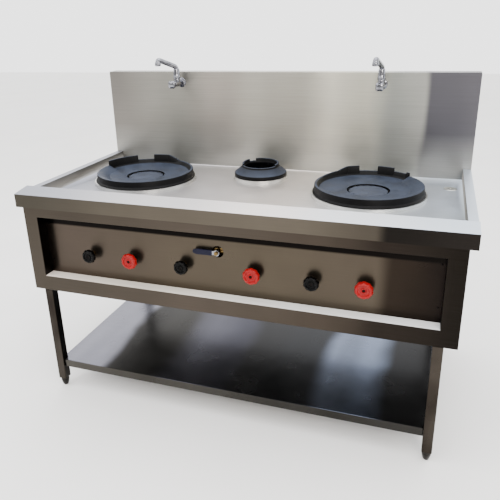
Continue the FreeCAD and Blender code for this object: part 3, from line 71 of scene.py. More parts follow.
# ---------------------------------------------------------------- materials
def linear(hex_colour: str) -> tuple[float, float, float, float]:
    """Turns an sRGB hex colour into linear light.

    Args:
        hex_colour: Colour as "#RRGGBB".

    Returns:
        Linear red, green, blue and an alpha of one.
    """

    def channel(start: int) -> float:
        """Returns one linear channel."""
        value = int(hex_colour[start : start + 2], 16) / 255
        return value / 12.92 if value <= 0.04045 else ((value + 0.055) / 1.055) ** 2.4

    return (channel(1), channel(3), channel(5), 1.0)


def feed(tree: Tree, node: Node, inputs: Inputs) -> None:
    """Sets or links the inputs of a node.

    Args:
        tree: Node tree that holds the node.
        node: Node to feed.
        inputs: Plain value, hex colour or output socket by input name or number.
    """
    for key, value in inputs.items():
        if isinstance(value, Socket):
            tree.links.new(value, node.inputs[key])
        else:
            node.inputs[key].default_value = linear(value) if isinstance(value, str) else value


def add_node(tree: Tree, kind: str, inputs: Inputs | None = None, **settings: Any) -> Node:
    """Adds one shader node with its settings, values and links.

    Args:
        tree: Node tree to add to.
        kind: Blender's node type.
        inputs: Plain value, hex colour or output socket by input name or number.
        **settings: Properties of the node itself.

    Returns:
        The new node.
    """
    node = tree.nodes.new(kind)
    for name, value in settings.items():
        setattr(node, name, value)
    feed(tree, node, inputs or {})
    return node


class Grain(Enum):
    """Direction that a sheet was brushed in."""

    ALONG_X = "x"
    ALONG_Z = "z"


class Side(Enum):
    """Side of a folded sheet, by the way that it looks, which gets its own painted light and painted
    shade.
    """

    UP = ("Z", 1.0)
    FRONT = ("Y", -1.0)
    BACK = ("Y", 1.0)
    LEFT = ("X", -1.0)
    RIGHT = ("X", 1.0)


@dataclass(frozen=True)
class Finish:
    """A surface finish that builds one node material.

    Attributes:
        name: Material name, the finish's common name.
        colour: Main colour as sRGB hex.
        roughness: Roughness of the plain surface.
        metallic: One for metals, zero for the rest.
        uneven: How far the roughness falls and rises in patches.
        relief: Depth of the bumps in millimetres and how much of it shows.
    """

    name: str
    colour: str
    roughness: float
    metallic: float = 0.0
    uneven: tuple[float, float] = (0.04, 0.12)
    relief: tuple[float, float] = (0.1, 0.12)

    def material(self) -> bpy.types.Material:
        """Builds the finish's material, or finds it where it is built already.

        Returns:
            The material.
        """
        found = bpy.data.materials.get(self.name)
        if found:
            return found
        made = bpy.data.materials.new(self.name)
        made.use_nodes = True
        tree = made.node_tree
        tree.nodes.clear()
        plain = {"Base Color": self.colour, "Metallic": self.metallic, "Roughness": self.roughness}
        shader = add_node(tree, "ShaderNodeBsdfPrincipled", plain)
        add_node(tree, "ShaderNodeOutputMaterial", {"Surface": shader.outputs["BSDF"]})
        self.dress(tree, shader)
        return made

    def dress(self, tree: Tree, shader: Node) -> None:
        """Adds the finish's own pattern to its shader."""

    def noise(
        self,
        tree: Tree,
        size_mm: float | tuple[float, float, float],
        detail: float,
    ) -> Socket:
        """Makes noise whose blobs have a real size.

        Args:
            tree: Node tree to add to.
            size_mm: Blob size in millimetres, the same each way or along X, Y and Z.
            detail: Octaves of finer noise.

        Returns:
            The noise value's socket.
        """
        sizes = size_mm if isinstance(size_mm, tuple) else (size_mm,) * 3
        place = add_node(tree, "ShaderNodeTexCoord").outputs["Object"]
        scale = [1 / (size * MM) for size in sizes]
        stretch = add_node(tree, "ShaderNodeMapping", {"Vector": place, "Scale": scale})
        inputs = {
            "Vector": stretch.outputs["Vector"],
            "Scale": 1.0,
            "Detail": detail,
            "Roughness": NOISE_ROUGHNESS,
        }
        return add_node(tree, "ShaderNodeTexNoise", inputs).outputs["Fac"]

    def spread(self, tree: Tree, value: Socket, low: float, high: float) -> Socket:
        """Maps the middle of a noise value, where nearly all of it lies, onto a range.

        Args:
            tree: Node tree to add to.
            value: Noise between zero and one.
            low: Result for dark noise.
            high: Result for light noise.

        Returns:
            The mapped value's socket.
        """
        start, end = NOISE_RANGE
        limits = {"From Min": start, "From Max": end, "To Min": low, "To Max": high}
        return add_node(tree, "ShaderNodeMapRange", {"Value": value, **limits}).outputs["Result"]

    def layered(self, tree: Tree, base: Any, layers: Sequence[Layer]) -> Socket:
        """Lays colours over a base, one after the other.

        Args:
            tree: Node tree to add to.
            base: Lowest colour, as hex or as a socket.
            layers: Share of each layer and its colour, from the lowest to the highest.

        Returns:
            The mixed colour's socket.
        """
        for share, colour in layers:
            inputs = {0: share, 6: base, 7: colour}
            base = add_node(tree, "ShaderNodeMix", inputs, data_type="RGBA").outputs[2]
        return base

    def give_skin(self, tree: Tree, shader: Node, shine: Socket, height: Socket) -> None:
        """Makes the shine uneven and raises the surface.

        Args:
            tree: Node tree to add to.
            shader: Shader of the finish.
            shine: Noise that the roughness follows.
            height: Noise that the bumps follow.
        """
        fall, rise = self.uneven
        depth_mm, strength = self.relief
        inputs = {"Height": height, "Distance": depth_mm * MM, "Strength": strength}
        bumps = add_node(tree, "ShaderNodeBump", inputs)
        roughness = self.spread(tree, shine, self.roughness - fall, self.roughness + rise)
        feed(tree, shader, {"Roughness": roughness, "Normal": bumps.outputs["Normal"]})


@dataclass(frozen=True)
class BrushedSteel(Finish):
    """Stainless sheet, brushed by belt: fine lines one way, columns of painted reflection, painted
    shade on its sides, thumbed patches.

    Attributes:
        second: Colour of the patches: smudges and painted reflection of darker or lighter things;
            painted glints on the legs.
        patch_share: How strong those patches are.
        patch_mm: Size of the patches along X, Y and Z.
        thumb_mm: Size of the patches that hands dulled.
        painted_columns: Places along X in millimetres and the colours of the painted reflection and
            painted shade there.
        sides: The same for the sides of the sheet that look another way: painted light and painted
            shade on each side.
        wander_mm: How far the edges of the painted columns wander.
        wander_size_mm: Length of one wander along X, Y and Z.
        upward_metallic: How metallic the upward side is; lowered so that the painted light on the
            upward side shows as a pale matt colour.
        painted_shade_from: Height above which the sheet carries the painted shade of the dark fold
            over it; zero for none.
        painted_shade_run: Height in millimetres over which that painted shade comes in.
        painted_shade: Colour of the painted shade under the fold.
        glow: Height below which the sheet carries a painted reflection of the bright top, and its
            colour.
        glow_run: Height in millimetres over which that painted reflection comes in.
        glow_share: How strong the painted reflection is.
        grain: Direction of the brushing.
        line: Colour of the brush lines.
        line_mm: Width of a line, drawn wider than the real tenth of a millimetre so that it shows.
        line_length_mm: Length of a brush line.
        line_share: How strong the brush lines are.
        anisotropy: Stretch of the highlights across the lines.
        tangent_axis: Axis that the highlights' direction turns round.
    """

    metallic: float = 1.0
    uneven: tuple[float, float] = (0.03, 0.05)
    second: str = "#0E0D0C"
    patch_share: float = 0.16
    patch_mm: tuple[float, float, float] = (260.0, 260.0, 1200.0)
    thumb_mm: float = 140.0
    painted_columns: Columns = ()
    sides: tuple[tuple[Side, Columns], ...] = ()
    wander_mm: float = 90.0
    wander_size_mm: tuple[float, float, float] = (240.0, 240.0, 420.0)
    upward_metallic: float = 1.0
    painted_shade_from: float = 0.0
    painted_shade_run: float = 7.0
    painted_shade: str = "#0C0A09"
    glow: tuple[float, str] | None = None
    glow_run: float = 170.0
    glow_share: float = 0.55
    grain: Grain = Grain.ALONG_X
    line: str = "#2A2826"
    line_mm: float = 2.2
    line_length_mm: float = 260.0
    line_share: float = 0.16
    anisotropy: float = 0.5
    tangent_axis: str = "Z"

    def dress(self, tree: Tree, shader: Node) -> None:
        """Adds painted reflections, painted shade, brush lines and stretched highlights.

        Args:
            tree: Node tree to add to.
            shader: Shader of the finish.
        """
        # Base colour: painted reflection and painted shade in columns along X.
        base = self.painted_along_x(tree, self.painted_columns) if self.painted_columns else self.colour
        # Each side of the sheet gets its own painted light and painted shade.
        layers: list[Layer] = [
            (self.facing(tree, side), self.painted_along_x(tree, painted_columns)) for side, painted_columns in self.sides
        ]
        patches = self.noise(tree, self.patch_mm, 1.0)
        # Patches of smudges and painted reflection; on the legs, painted glints.
        layers.append((self.spread(tree, patches, 0.0, self.patch_share), self.second))
        # Painted shade under the fold above the sheet.
        if self.painted_shade_from:
            end = self.painted_shade_from + self.painted_shade_run
            layers.append((self.between(tree, self.painted_shade_from, end, 1.0), self.painted_shade))
        # Painted reflection of the bright top, low down on the sheet.
        if self.glow:
            top, shine = self.glow
            share = self.between(tree, top, top - self.glow_run, self.glow_share)
            layers.append((share, shine))
        layers.append((self.streaks(tree), self.line))
        thumbed = self.noise(tree, self.thumb_mm, 2.0)
        fall, rise = self.uneven
        tangent = add_node(
            tree, "ShaderNodeTangent", direction_type="RADIAL", axis=self.tangent_axis
        )
        inputs = {
            "Base Color": self.layered(tree, base, layers),
            "Roughness": self.spread(tree, thumbed, self.roughness - fall, self.roughness + rise),
            "Anisotropic": self.anisotropy,
            "Anisotropic Rotation": ACROSS,
            "Tangent": tangent.outputs["Tangent"],
        }
        feed(tree, shader, inputs)
        # Upward faces turn matt so that their painted light shows.
        if self.upward_metallic < 1.0:
            self.make_upward_less_metallic(tree, shader)

    def streaks(self, tree: Tree) -> Socket:
        """Draws the brush lines.

        Args:
            tree: Node tree to add to.

        Returns:
            The socket of the lines' share.
        """
        sizes = {axis: self.line_mm for axis in "xyz"}
        sizes[self.grain.value] = self.line_length_mm
        lines = self.noise(tree, (sizes["x"], sizes["y"], sizes["z"]), 2.0)
        return self.spread(tree, lines, 0.0, self.line_share)

    def painted_along_x(self, tree: Tree, painted_columns: Columns) -> Socket:
        """Returns the painted reflection and painted shade along X.

        Args:
            tree: Node tree to add to.
            painted_columns: Places along X in millimetres and their painted colours.

        Returns:
            The colour's socket.
        """
        start, end = painted_columns[0][0], painted_columns[-1][0]
        reach = self.wander_mm * MM / 2
        wander = self.spread(tree, self.noise(tree, self.wander_size_mm, 1.0), -reach, reach)
        inputs = {0: self.place(tree).outputs["X"], 1: wander}
        shifted = add_node(tree, "ShaderNodeMath", inputs, operation="ADD").outputs["Value"]
        limits = {"Value": shifted, "From Min": start * MM, "From Max": end * MM}
        along = add_node(tree, "ShaderNodeMapRange", limits).outputs["Result"]
        ramp = add_node(tree, "ShaderNodeValToRGB", {"Fac": along})
        stops = ramp.color_ramp
        stops.interpolation = "EASE"
        while len(stops.elements) < len(painted_columns):
            stops.elements.new(0.5)
        for stop, (where, colour) in zip(stops.elements, painted_columns):
            stop.position = (where - start) / (end - start)
            stop.color = linear(colour)
        return ramp.outputs["Color"]

    def place(self, tree: Tree) -> Node:
        """Returns a node with the surface's X, Y and Z in metres."""
        place = add_node(tree, "ShaderNodeTexCoord").outputs["Object"]
        return add_node(tree, "ShaderNodeSeparateXYZ", {"Vector": place})

    def facing(self, tree: Tree, side: Side) -> Socket:
        """Finds the faces that look a side's way.

        Args:
            tree: Node tree to add to.
            side: The side.

        Returns:
            The socket of a share that is one on such faces and zero on the rest.
        """
        axis, way = side.value
        normal = add_node(tree, "ShaderNodeNewGeometry").outputs["True Normal"]
        parts = add_node(tree, "ShaderNodeSeparateXYZ", {"Vector": normal})
        start, full = (way * part for part in FACING_RANGE)
        limits = {"Value": parts.outputs[axis], "From Min": start, "From Max": full}
        return add_node(tree, "ShaderNodeMapRange", limits).outputs["Result"]

    def between(self, tree: Tree, start: float, end: float, most: float) -> Socket:
        """Returns a share that grows from one height to another.

        Args:
            tree: Node tree to add to.
            start: Height in millimetres where it is zero.
            end: Height where it is at its most.
            most: The share there.

        Returns:
            The share's socket.
        """
        limits = {"From Min": start * MM, "From Max": end * MM, "To Max": most}
        height = self.place(tree).outputs["Z"]
        return add_node(tree, "ShaderNodeMapRange", {"Value": height, **limits}).outputs["Result"]

    def make_upward_less_metallic(self, tree: Tree, shader: Node) -> None:
        """Makes the upward side less of a mirror, so that its painted light shows as a pale matt
        colour.

        Args:
            tree: Node tree to add to.
            shader: Shader of the finish.
        """
        limits = {"To Min": self.metallic, "To Max": self.upward_metallic}
        upward = self.facing(tree, Side.UP)
        share = add_node(tree, "ShaderNodeMapRange", {"Value": upward, **limits})
        feed(tree, shader, {"Metallic": share.outputs["Result"]})


@dataclass(frozen=True)
class SandCastIron(Finish):
    """Iron out of a sand mould, oiled: a pebbled dark skin, grey-blue where it faces up with dust and
    a painted sheen of the sky.

    Attributes:
        dust_and_sheen: Colour of the upward faces: dust and a painted sheen of the sky.
        dust_and_sheen_share: How much of it shows.
        dust_and_sheen_from: Upward part of the normal where the dust and painted sheen start, and
            where they are full.
        dust_and_sheen_least: How much of the dust and painted sheen the oiliest patches keep.
        patch_mm: Size of the oily patches.
        grit_mm: Size of the sand's print, drawn coarser than real sand so that it shows.
        gloss: Strength of the surface's own reflection.
    """

    metallic: float = 0.1
    uneven: tuple[float, float] = (0.1, 0.12)
    relief: tuple[float, float] = (0.5, 0.45)
    dust_and_sheen: str = "#5C6478"
    dust_and_sheen_share: float = 0.7
    dust_and_sheen_from: tuple[float, float] = (0.66, 0.83)
    dust_and_sheen_least: float = 0.55
    patch_mm: float = 60.0
    grit_mm: float = 2.2
    gloss: float = 0.14

    def dress(self, tree: Tree, shader: Node) -> None:
        """Adds the sand's print, tops with dust and a painted sheen, and uneven shine.

        Args:
            tree: Node tree to add to.
            shader: Shader of the finish.
        """
        patches = self.noise(tree, self.patch_mm, 3.0)
        # Upward faces get dust and a painted sheen of the sky, weaker in some patches.
        normal = add_node(tree, "ShaderNodeNewGeometry").outputs["Normal"]
        height = add_node(tree, "ShaderNodeSeparateXYZ", {"Vector": normal}).outputs["Z"]
        start, full = self.dust_and_sheen_from
        limits = {"From Min": start, "From Max": full, "To Max": self.dust_and_sheen_share}
        upward = add_node(tree, "ShaderNodeMapRange", {"Value": height, **limits})
        patchiness = self.spread(tree, patches, self.dust_and_sheen_least, 1.0)
        inputs = {0: upward.outputs["Result"], 1: patchiness}
        share = add_node(tree, "ShaderNodeMath", inputs, operation="MULTIPLY").outputs["Value"]
        colour = self.layered(tree, self.colour, [(share, self.dust_and_sheen)])
        feed(tree, shader, {"Base Color": colour, "Specular IOR Level": self.gloss})
        grit = self.noise(tree, self.grit_mm, 3.0)
        self.give_skin(tree, shader, patches, grit)


@dataclass(frozen=True)
class MouldedPlastic(Finish):
    """Moulded plastic: a smooth skin with a slight orange peel and handled patches.

    Attributes:
        worn: Colour of handled patches.
        worn_share: How strong they are.
        coat: Strength of the glossy skin.
        coat_roughness: Roughness of that skin.
        gloss: Strength of the plain surface's own reflection.
        handled_mm: Size of the handled patches.
        peel_mm: Size of the orange peel, drawn coarser than the real one so that it shows.
    """

    uneven: tuple[float, float] = (0.05, 0.12)
    relief: tuple[float, float] = (0.06, 0.25)
    worn: str = "#202020"
    worn_share: float = 0.5
    coat: float = 0.25
    coat_roughness: float = 0.08
    gloss: float = 0.3
    handled_mm: float = 14.0
    peel_mm: float = 1.6

    def dress(self, tree: Tree, shader: Node) -> None:
        """Adds handled patches, orange peel and the glossy skin.

        Args:
            tree: Node tree to add to.
            shader: Shader of the finish.
        """
        handled = self.noise(tree, self.handled_mm, 4.0)
        share = self.spread(tree, handled, 0.0, self.worn_share)
        inputs = {
            "Base Color": self.layered(tree, self.colour, [(share, self.worn)]),
            "Coat Weight": self.coat,
            "Coat Roughness": self.coat_roughness,
            "Specular IOR Level": self.gloss,
        }
        feed(tree, shader, inputs)
        peel = self.noise(tree, self.peel_mm, 1.0)
        self.give_skin(tree, shader, handled, peel)


@dataclass(frozen=True)
class BareMetal(Finish):
    """Plated, turned, drawn or galvanised metal: a tinted mirror dulled by spots.

    Attributes:
        tarnish: Colour of the dull spots.
        spot_mm: Size of the spots.
        tarnish_share: How strong the spots are.
    """

    metallic: float = 1.0
    tarnish: str = "#505050"
    spot_mm: float = 12.0
    tarnish_share: float = 0.4

    def dress(self, tree: Tree, shader: Node) -> None:
        """Adds dull spots and a slightly uneven surface.

        Args:
            tree: Node tree to add to.
            shader: Shader of the finish.
        """
        spots = self.noise(tree, self.spot_mm, 4.0)
        share = self.spread(tree, spots, 0.0, self.tarnish_share)
        colour = self.layered(tree, self.colour, [(share, self.tarnish)])
        feed(tree, shader, {"Base Color": colour})
        self.give_skin(tree, shader, spots, spots)


@dataclass(frozen=True)
class StudioFloor(Finish):
    """Plain pale floor paint with a faint unevenness.

    Attributes:
        shade: Colour of the slightly darker patches.
        shade_share: How strong they are.
        patch_mm: Size of the patches.
    """

    shade: str = "#E2E1DF"
    shade_share: float = 0.3
    patch_mm: float = 700.0

    def dress(self, tree: Tree, shader: Node) -> None:
        """Adds a faint unevenness."""
        share = self.spread(tree, self.noise(tree, self.patch_mm, 2.0), 0.0, self.shade_share)
        feed(tree, shader, {"Base Color": self.layered(tree, self.colour, [(share, self.shade)])})


# Brushed steel worktop: a bright, milky top of painted sky reflections along X, with painted shade on
# its aprons and sides.
TOP_STEEL = BrushedSteel(
    "stainless steel, brushed worktop",
    "#A9A8AC",
    0.46,
    patch_share=0.08,
    patch_mm=(500.0, 500.0, 500.0),
    painted_columns=(
        (-880.0, "#989AA2"), (-200.0, "#C8C5C5"), (150.0, "#DFD8D3"), (500.0, "#D3D6DA"),
        (880.0, "#CDD6E0"),
    ),
    sides=(
        (
            Side.FRONT,
            (
                (-880.0, "#413D36"), (-300.0, "#534D44"), (300.0, "#544E45"),
                (570.0, "#403B34"), (620.0, "#191715"), (880.0, "#201D1B"),
            ),
        ),
        (Side.BACK, ((-900.0, "#716E69"), (900.0, "#716E69"))),
        (Side.LEFT, ((-900.0, "#67635D"), (900.0, "#8F8D8A"))),
        (Side.RIGHT, ((-900.0, "#8F8D8A"), (900.0, "#58544E"))),
    ),
    wander_mm=30.0,
    line_share=0.08,
    tangent_axis="X",
    anisotropy=0.3,
)
# Upright brushed steel: broad soft columns of painted reflection, one dark band of painted reflection
# at the right, and a painted reflection of the bright worktop low down.
SPLASH_STEEL = BrushedSteel(
    "stainless steel, brushed upstand",
    "#9A978C",
    0.38,
    patch_mm=(170.0, 170.0, 700.0),
    painted_columns=(
        (-900.0, "#7E7A75"), (-480.0, "#94928A"), (-300.0, "#A9A299"), (-60.0, "#B2AEA3"),
        (120.0, "#AEAA9F"), (260.0, "#D3CFC0"), (420.0, "#C8C5B6"), (540.0, "#9C9E98"),
        (650.0, "#A2A29C"), (690.0, "#57565B"), (900.0, "#545358"),
    ),
    glow=(1090.0, "#B2B3AE"),
    wander_mm=60.0,
    line_share=0.14,
)
# Brushed steel front in painted shade: warm brown-grey rails, painted nearly black at the right and
# on the side returns, with a pale ledge of painted light.
FRONT_STEEL = BrushedSteel(
    "stainless steel, brushed front",
    "#5A5148",
    0.34,
    patch_mm=(420.0, 420.0, 900.0),
    painted_columns=(
        (-880.0, "#403A33"), (0.0, "#463F38"), (400.0, "#3F3831"), (620.0, "#231E1A"),
        (880.0, "#15120F"),
    ),
    sides=(
        (
            Side.UP,
            ((-840.0, "#F4E8DC"), (-300.0, "#E8E0D2"), (300.0, "#FAF8F4"), (840.0, "#FFFFFF")),
        ),
        (Side.RIGHT, ((-900.0, "#0E0B09"), (900.0, "#2A2622"))),
        (Side.LEFT, ((-900.0, "#4A433B"), (900.0, "#1B1714"))),
    ),
    upward_metallic=0.0,
    line_share=0.2,
)
# Flat brushed sheet, set back: an even brown-grey that turns nearly black in painted shade at the
# right, with a dark strip of painted shade under the fold above it.
PANEL_STEEL = BrushedSteel(
    "stainless steel, brushed valve panel",
    "#5D5448",
    0.30,
    patch_share=0.12,
    patch_mm=(520.0, 520.0, 900.0),
    painted_columns=(
        (-840.0, "#463E37"), (100.0, "#484137"), (560.0, "#474037"), (640.0, "#241E19"),
        (840.0, "#14100F"),
    ),
    wander_mm=50.0,
    painted_shade_from=792.0,
    line_share=0.1,
    anisotropy=0.6,
)
# Plain brushed casing: an even mid grey with faint lines along the sheet.
BODY_STEEL = BrushedSteel("stainless steel, brushed casing", "#6C6965", 0.38)
# Polished square tube: dark brown-black in painted shade, with short vertical painted glints and a
# darker right side of painted shade.
LEG_STEEL = BrushedSteel(
    "stainless steel, polished tube",
    "#1F1A16",
    0.25,
    second="#45403A",
    patch_share=0.5,
    sides=((Side.RIGHT, ((-900.0, "#090807"), (900.0, "#2A2622"))),),
    grain=Grain.ALONG_Z,
    patch_mm=(80.0, 80.0, 160.0),
)
# Brushed shelf in painted shade from the body over it: black, with blue-grey bands of painted
# reflection where it would mirror daylight.
SHELF_STEEL = BrushedSteel(
    "stainless steel, shaded shelf",
    "#2A2826",
    0.24,
    patch_share=0.3,
    patch_mm=(140.0, 1400.0, 300.0),
    painted_columns=(
        (-860.0, "#7C7C86"), (-620.0, "#787882"), (-560.0, "#1E1C1A"), (-380.0, "#24221F"),
        (-260.0, "#4A4A54"), (-60.0, "#30303A"), (40.0, "#1A1A1C"), (330.0, "#1E2024"),
        (420.0, "#6A7386"), (560.0, "#667084"), (660.0, "#101114"), (860.0, "#0A0A0C"),
    ),
    sides=((Side.FRONT, ((-860.0, "#464440"), (860.0, "#2F2E2C"))),),
    wander_mm=40.0,
    line_share=0.1,
    tangent_axis="X",
    anisotropy=0.3,
)
# Spun sheet: a pale, soft mirror inside the wells.
WELL_STEEL = BareMetal(
    "stainless steel, spun well", "#C9CAC6", 0.3, tarnish="#A4A5A3", spot_mm=60.0
)
# Oiled casting: black walls and a slate-blue dish, its upward faces grey-blue with dust and a painted
# sheen of the sky, pebbled by the sand.
RING_IRON = SandCastIron("cast iron, oiled ring", "#010102", 0.5, dust_and_sheen="#373E4C", dust_and_sheen_share=0.85)
# Burnt casting: a dull charcoal skin with grey scale and a painted sheen on its tops.
BURNER_IRON = SandCastIron("cast iron, burnt burner", "#0A0A0C", 0.5, dust_and_sheen="#454C5B", grit_mm=1.6)
# Black phenolic moulding: deep black with small soft glints.
BLACK_PHENOLIC = MouldedPlastic(
    "phenolic, black", "#010101", 0.22, worn="#050404", coat=0.0, gloss=0.1
)
# Red phenolic moulding: a full red, darker where fingers hold it, under a thin gloss.
RED_PHENOLIC = MouldedPlastic(
    "phenolic, red", "#8E060A", 0.3, worn="#5E0406", coat=0.12, gloss=0.15
)
# Blackened screw steel: near black with a dull glint.
DARK_SCREW = BareMetal("steel, blackened screw", "#1A1716", 0.35, tarnish="#0C0A09")
# Chrome plate: a sharp cool mirror with a darkened colour and dark spots: water spots and painted
# dark reflections of the room.
CHROME = BareMetal(
    "chrome plate", "#8E8F95", 0.07, tarnish="#2E2E33", spot_mm=16.0, tarnish_share=0.5
)
# Turned brass: a muted yellow-brown mirror with dark spots.
BRASS = BareMetal("brass, turned", "#6E5A38", 0.26, tarnish="#3A2E18")
# Zinc on pipe: a dull blue-grey with broad spangles.
ZINC = BareMetal("zinc, galvanised pipe", "#5C5F63", 0.42, tarnish="#46494C", spot_mm=18.0)
# Handled foot steel: a dark grey mirror with darker spots.
FOOT_STEEL = BareMetal("steel, darkened foot", "#2B2927", 0.3, tarnish="#141312", spot_mm=9.0)
# Drawn copper: a warm brown-orange mirror with long dull patches.
COPPER = BareMetal("copper, drawn tube", "#7E4F36", 0.28, tarnish="#4A2D20", spot_mm=25.0)
# Dipped vinyl: a soft navy skin with a weak sheen.
BLUE_VINYL = MouldedPlastic(
    "vinyl, dipped blue", "#030420", 0.38, worn="#02030F", coat=0.05, gloss=0.15
)
# Floor paint: a pale matt ground that takes soft shadows.
FLOOR_PAINT = StudioFloor("paint, pale floor", "#F2F1EF", 0.6)


# ---------------------------------------------------------------- modelling helpers
class Facing(Enum):
    """Way that a turned piece's own Z axis points, as its turn round X."""

    UP = 0.0
    FRONT = math.pi / 2
    BACK = -math.pi / 2


def pick(piece: Piece) -> None:
    """Selects one piece alone and makes it the active one.

    Args:
        piece: Piece to select.
    """
    bpy.ops.object.select_all(action="DESELECT")
    piece.select_set(True)
    bpy.context.view_layer.objects.active = piece


def settle(piece: Piece, place: Matrix) -> Piece:
    """Moves a piece to its place and writes the place into its mesh.

    Args:
        piece: Piece to move.
        place: Its place in metres.

    Returns:
        The same piece.
    """
    pick(piece)
    piece.matrix_world = place
    bpy.ops.object.transform_apply(location=True, rotation=True, scale=True)
    return piece


def turned(
    name: str,
    profile: Profile,
    place: Vector,
    facing: Facing = Facing.UP,
    steps: int = 48,
    ring: bool = False,
) -> Piece:
    """Turns a profile round an axis, as on a lathe, by extruding and scaling one circle.

    Args:
        name: Name of the piece.
        profile: Radius and height of each corner in millimetres, first face to last.
        place: Origin of the profile in metres.
        facing: Way that the heights run.
        steps: Facets round the axis.
        ring: True if the profile closes on itself and has a hole in its middle.

    Returns:
        The turned piece.
    """
    corners = [(radius * MM, height * MM) for radius, height in profile]
    radius, height = corners[0]
    fill = "NOTHING" if ring else "NGON"
    bpy.ops.object.select_all(action="DESELECT")
    bpy.ops.mesh.primitive_circle_add(
        vertices=steps, radius=radius, fill_type=fill, location=(0, 0, height)
    )
    piece = bpy.context.object
    piece.name = name
    bpy.ops.object.transform_apply(location=True, rotation=True, scale=True)
    bpy.ops.object.mode_set(mode="EDIT")
    bpy.ops.mesh.select_all(action="SELECT")
    for next_radius, next_height in corners[1:] + (corners[:1] if ring else []):
        rise = (0, 0, next_height - height)
        bpy.ops.mesh.extrude_region_move(TRANSFORM_OT_translate={"value": rise})
        ratio = next_radius / radius
        bpy.ops.transform.resize(value=(ratio, ratio, 1), center_override=(0, 0, next_height))
        radius, height = next_radius, next_height
    bpy.ops.mesh.select_all(action="SELECT")
    if ring:
        bpy.ops.mesh.remove_doubles(threshold=WELD)
    bpy.ops.mesh.normals_make_consistent(inside=False)
    bpy.ops.object.mode_set(mode="OBJECT")
    return settle(piece, Matrix.Translation(place) @ Matrix.Rotation(facing.value, 4, "X"))


def block(name: str, low: Vector, high: Vector) -> Piece:
    """Makes a block between two corners.

    Args:
        name: Name of the piece.
        low: Lowest corner in metres.
        high: Highest corner.

    Returns:
        The block.
    """
    bpy.ops.object.select_all(action="DESELECT")
    bpy.ops.mesh.primitive_cube_add(size=1, location=(low + high) / 2)
    piece = bpy.context.object
    piece.name = name
    piece.scale = high - low
    bpy.ops.object.transform_apply(location=True, rotation=True, scale=True)
    return piece


def round_edges(piece: Piece, width: float, segments: int = 2, angle_deg: float = 30.0) -> Piece:
    """Rounds the sharp edges of a piece and smooths its faces.

    Args:
        piece: Piece to finish.
        width: Width of the rounding in millimetres.
        segments: Facets across the rounding.
        angle_deg: Smallest fold that counts as an edge.

    Returns:
        The same piece.
    """
    pick(piece)
    bevel = piece.modifiers.new("rounding", "BEVEL")
    bevel.width = width * MM
    bevel.segments = segments
    bevel.limit_method = "ANGLE"
    bevel.angle_limit = math.radians(angle_deg)
    bevel.use_clamp_overlap = True
    bpy.ops.object.modifier_apply(modifier=bevel.name)
    bpy.ops.object.shade_smooth_by_angle(angle=math.radians(SMOOTH_DEG))
    return piece


def tube_along(
    name: str, points: Sequence[Vector], radius: float, bend: float, bend_steps: int = 8
) -> Piece:
    """Makes a round pipe along points with rounded bends.

    Args:
        name: Name of the piece.
        points: Corners of the route in metres.
        radius: Radius of the pipe in millimetres.
        bend: Distance from each corner at which its bend starts, in millimetres.
        bend_steps: Straight pieces in one bend.

    Returns:
        The pipe as a mesh with closed ends.
    """
    route: list[Vector] = [points[0]]
    for before, corner, after in zip(points, points[1:], points[2:]):
        start = corner + (before - corner).normalized() * bend * MM
        end = corner + (after - corner).normalized() * bend * MM
        for step in range(bend_steps + 1):
            share = step / bend_steps
            route.append(start.lerp(corner, share).lerp(corner.lerp(end, share), share))
    route.append(points[-1])
    curve = bpy.data.curves.new(name, "CURVE")
    curve.dimensions = "3D"
    curve.bevel_depth = radius * MM
    curve.bevel_resolution = 6
    curve.use_fill_caps = True
    spline = curve.splines.new("POLY")
    spline.points.add(len(route) - 1)
    for knot, point in zip(spline.points, route):
        knot.co = (*point, 1.0)
    piece = bpy.data.objects.new(name, curve)
    bpy.context.scene.collection.objects.link(piece)
    pick(piece)
    bpy.ops.object.convert(target="MESH")
    bpy.ops.object.mode_set(mode="EDIT")
    bpy.ops.mesh.select_all(action="SELECT")
    bpy.ops.mesh.remove_doubles(threshold=WELD)
    bpy.ops.mesh.normals_make_consistent(inside=False)
    bpy.ops.object.mode_set(mode="OBJECT")
    bpy.ops.object.shade_smooth_by_angle(angle=math.radians(SMOOTH_DEG))
    return bpy.context.object


def joined(name: str, pieces: Sequence[Piece]) -> Piece:
    """Joins pieces into one named object.

    Args:
        name: Name of the whole.
        pieces: Pieces to join, the one that stays first.

    Returns:
        The whole.
    """
    pick(pieces[0])
    for piece in pieces[1:]:
        piece.select_set(True)
    bpy.ops.object.join()
    whole = bpy.context.object
    whole.name = name
    return whole


def press_grooves(
    piece: Piece,
    centre: Vector,
    count: int,
    depth: float,
    inner: float,
    sharpness: float = 2.0,
) -> None:
    """Presses finger grooves into the rim of a piece turned to face the front.

    Args:
        piece: Turned piece.
        centre: Point on its axis in metres.
        count: Number of grooves.
        depth: Depth of a groove at the rim in millimetres.
        inner: Radius in millimetres inside which nothing moves.
        sharpness: Higher values make narrower grooves.
    """
    start = inner * MM
    vertices = piece.data.vertices
    outer = max(math.hypot(v.co.x - centre.x, v.co.z - centre.z) for v in vertices)
    for vertex in vertices:
        across, up = vertex.co.x - centre.x, vertex.co.z - centre.z
        radius = math.hypot(across, up)
        if radius <= start:
            continue
        wave = (0.5 + 0.5 * math.cos(count * math.atan2(up, across))) ** sharpness
        share = 1 - depth * MM * wave * (radius - start) / (outer - start) / radius
        vertex.co.x = centre.x + across * share
        vertex.co.z = centre.z + up * share


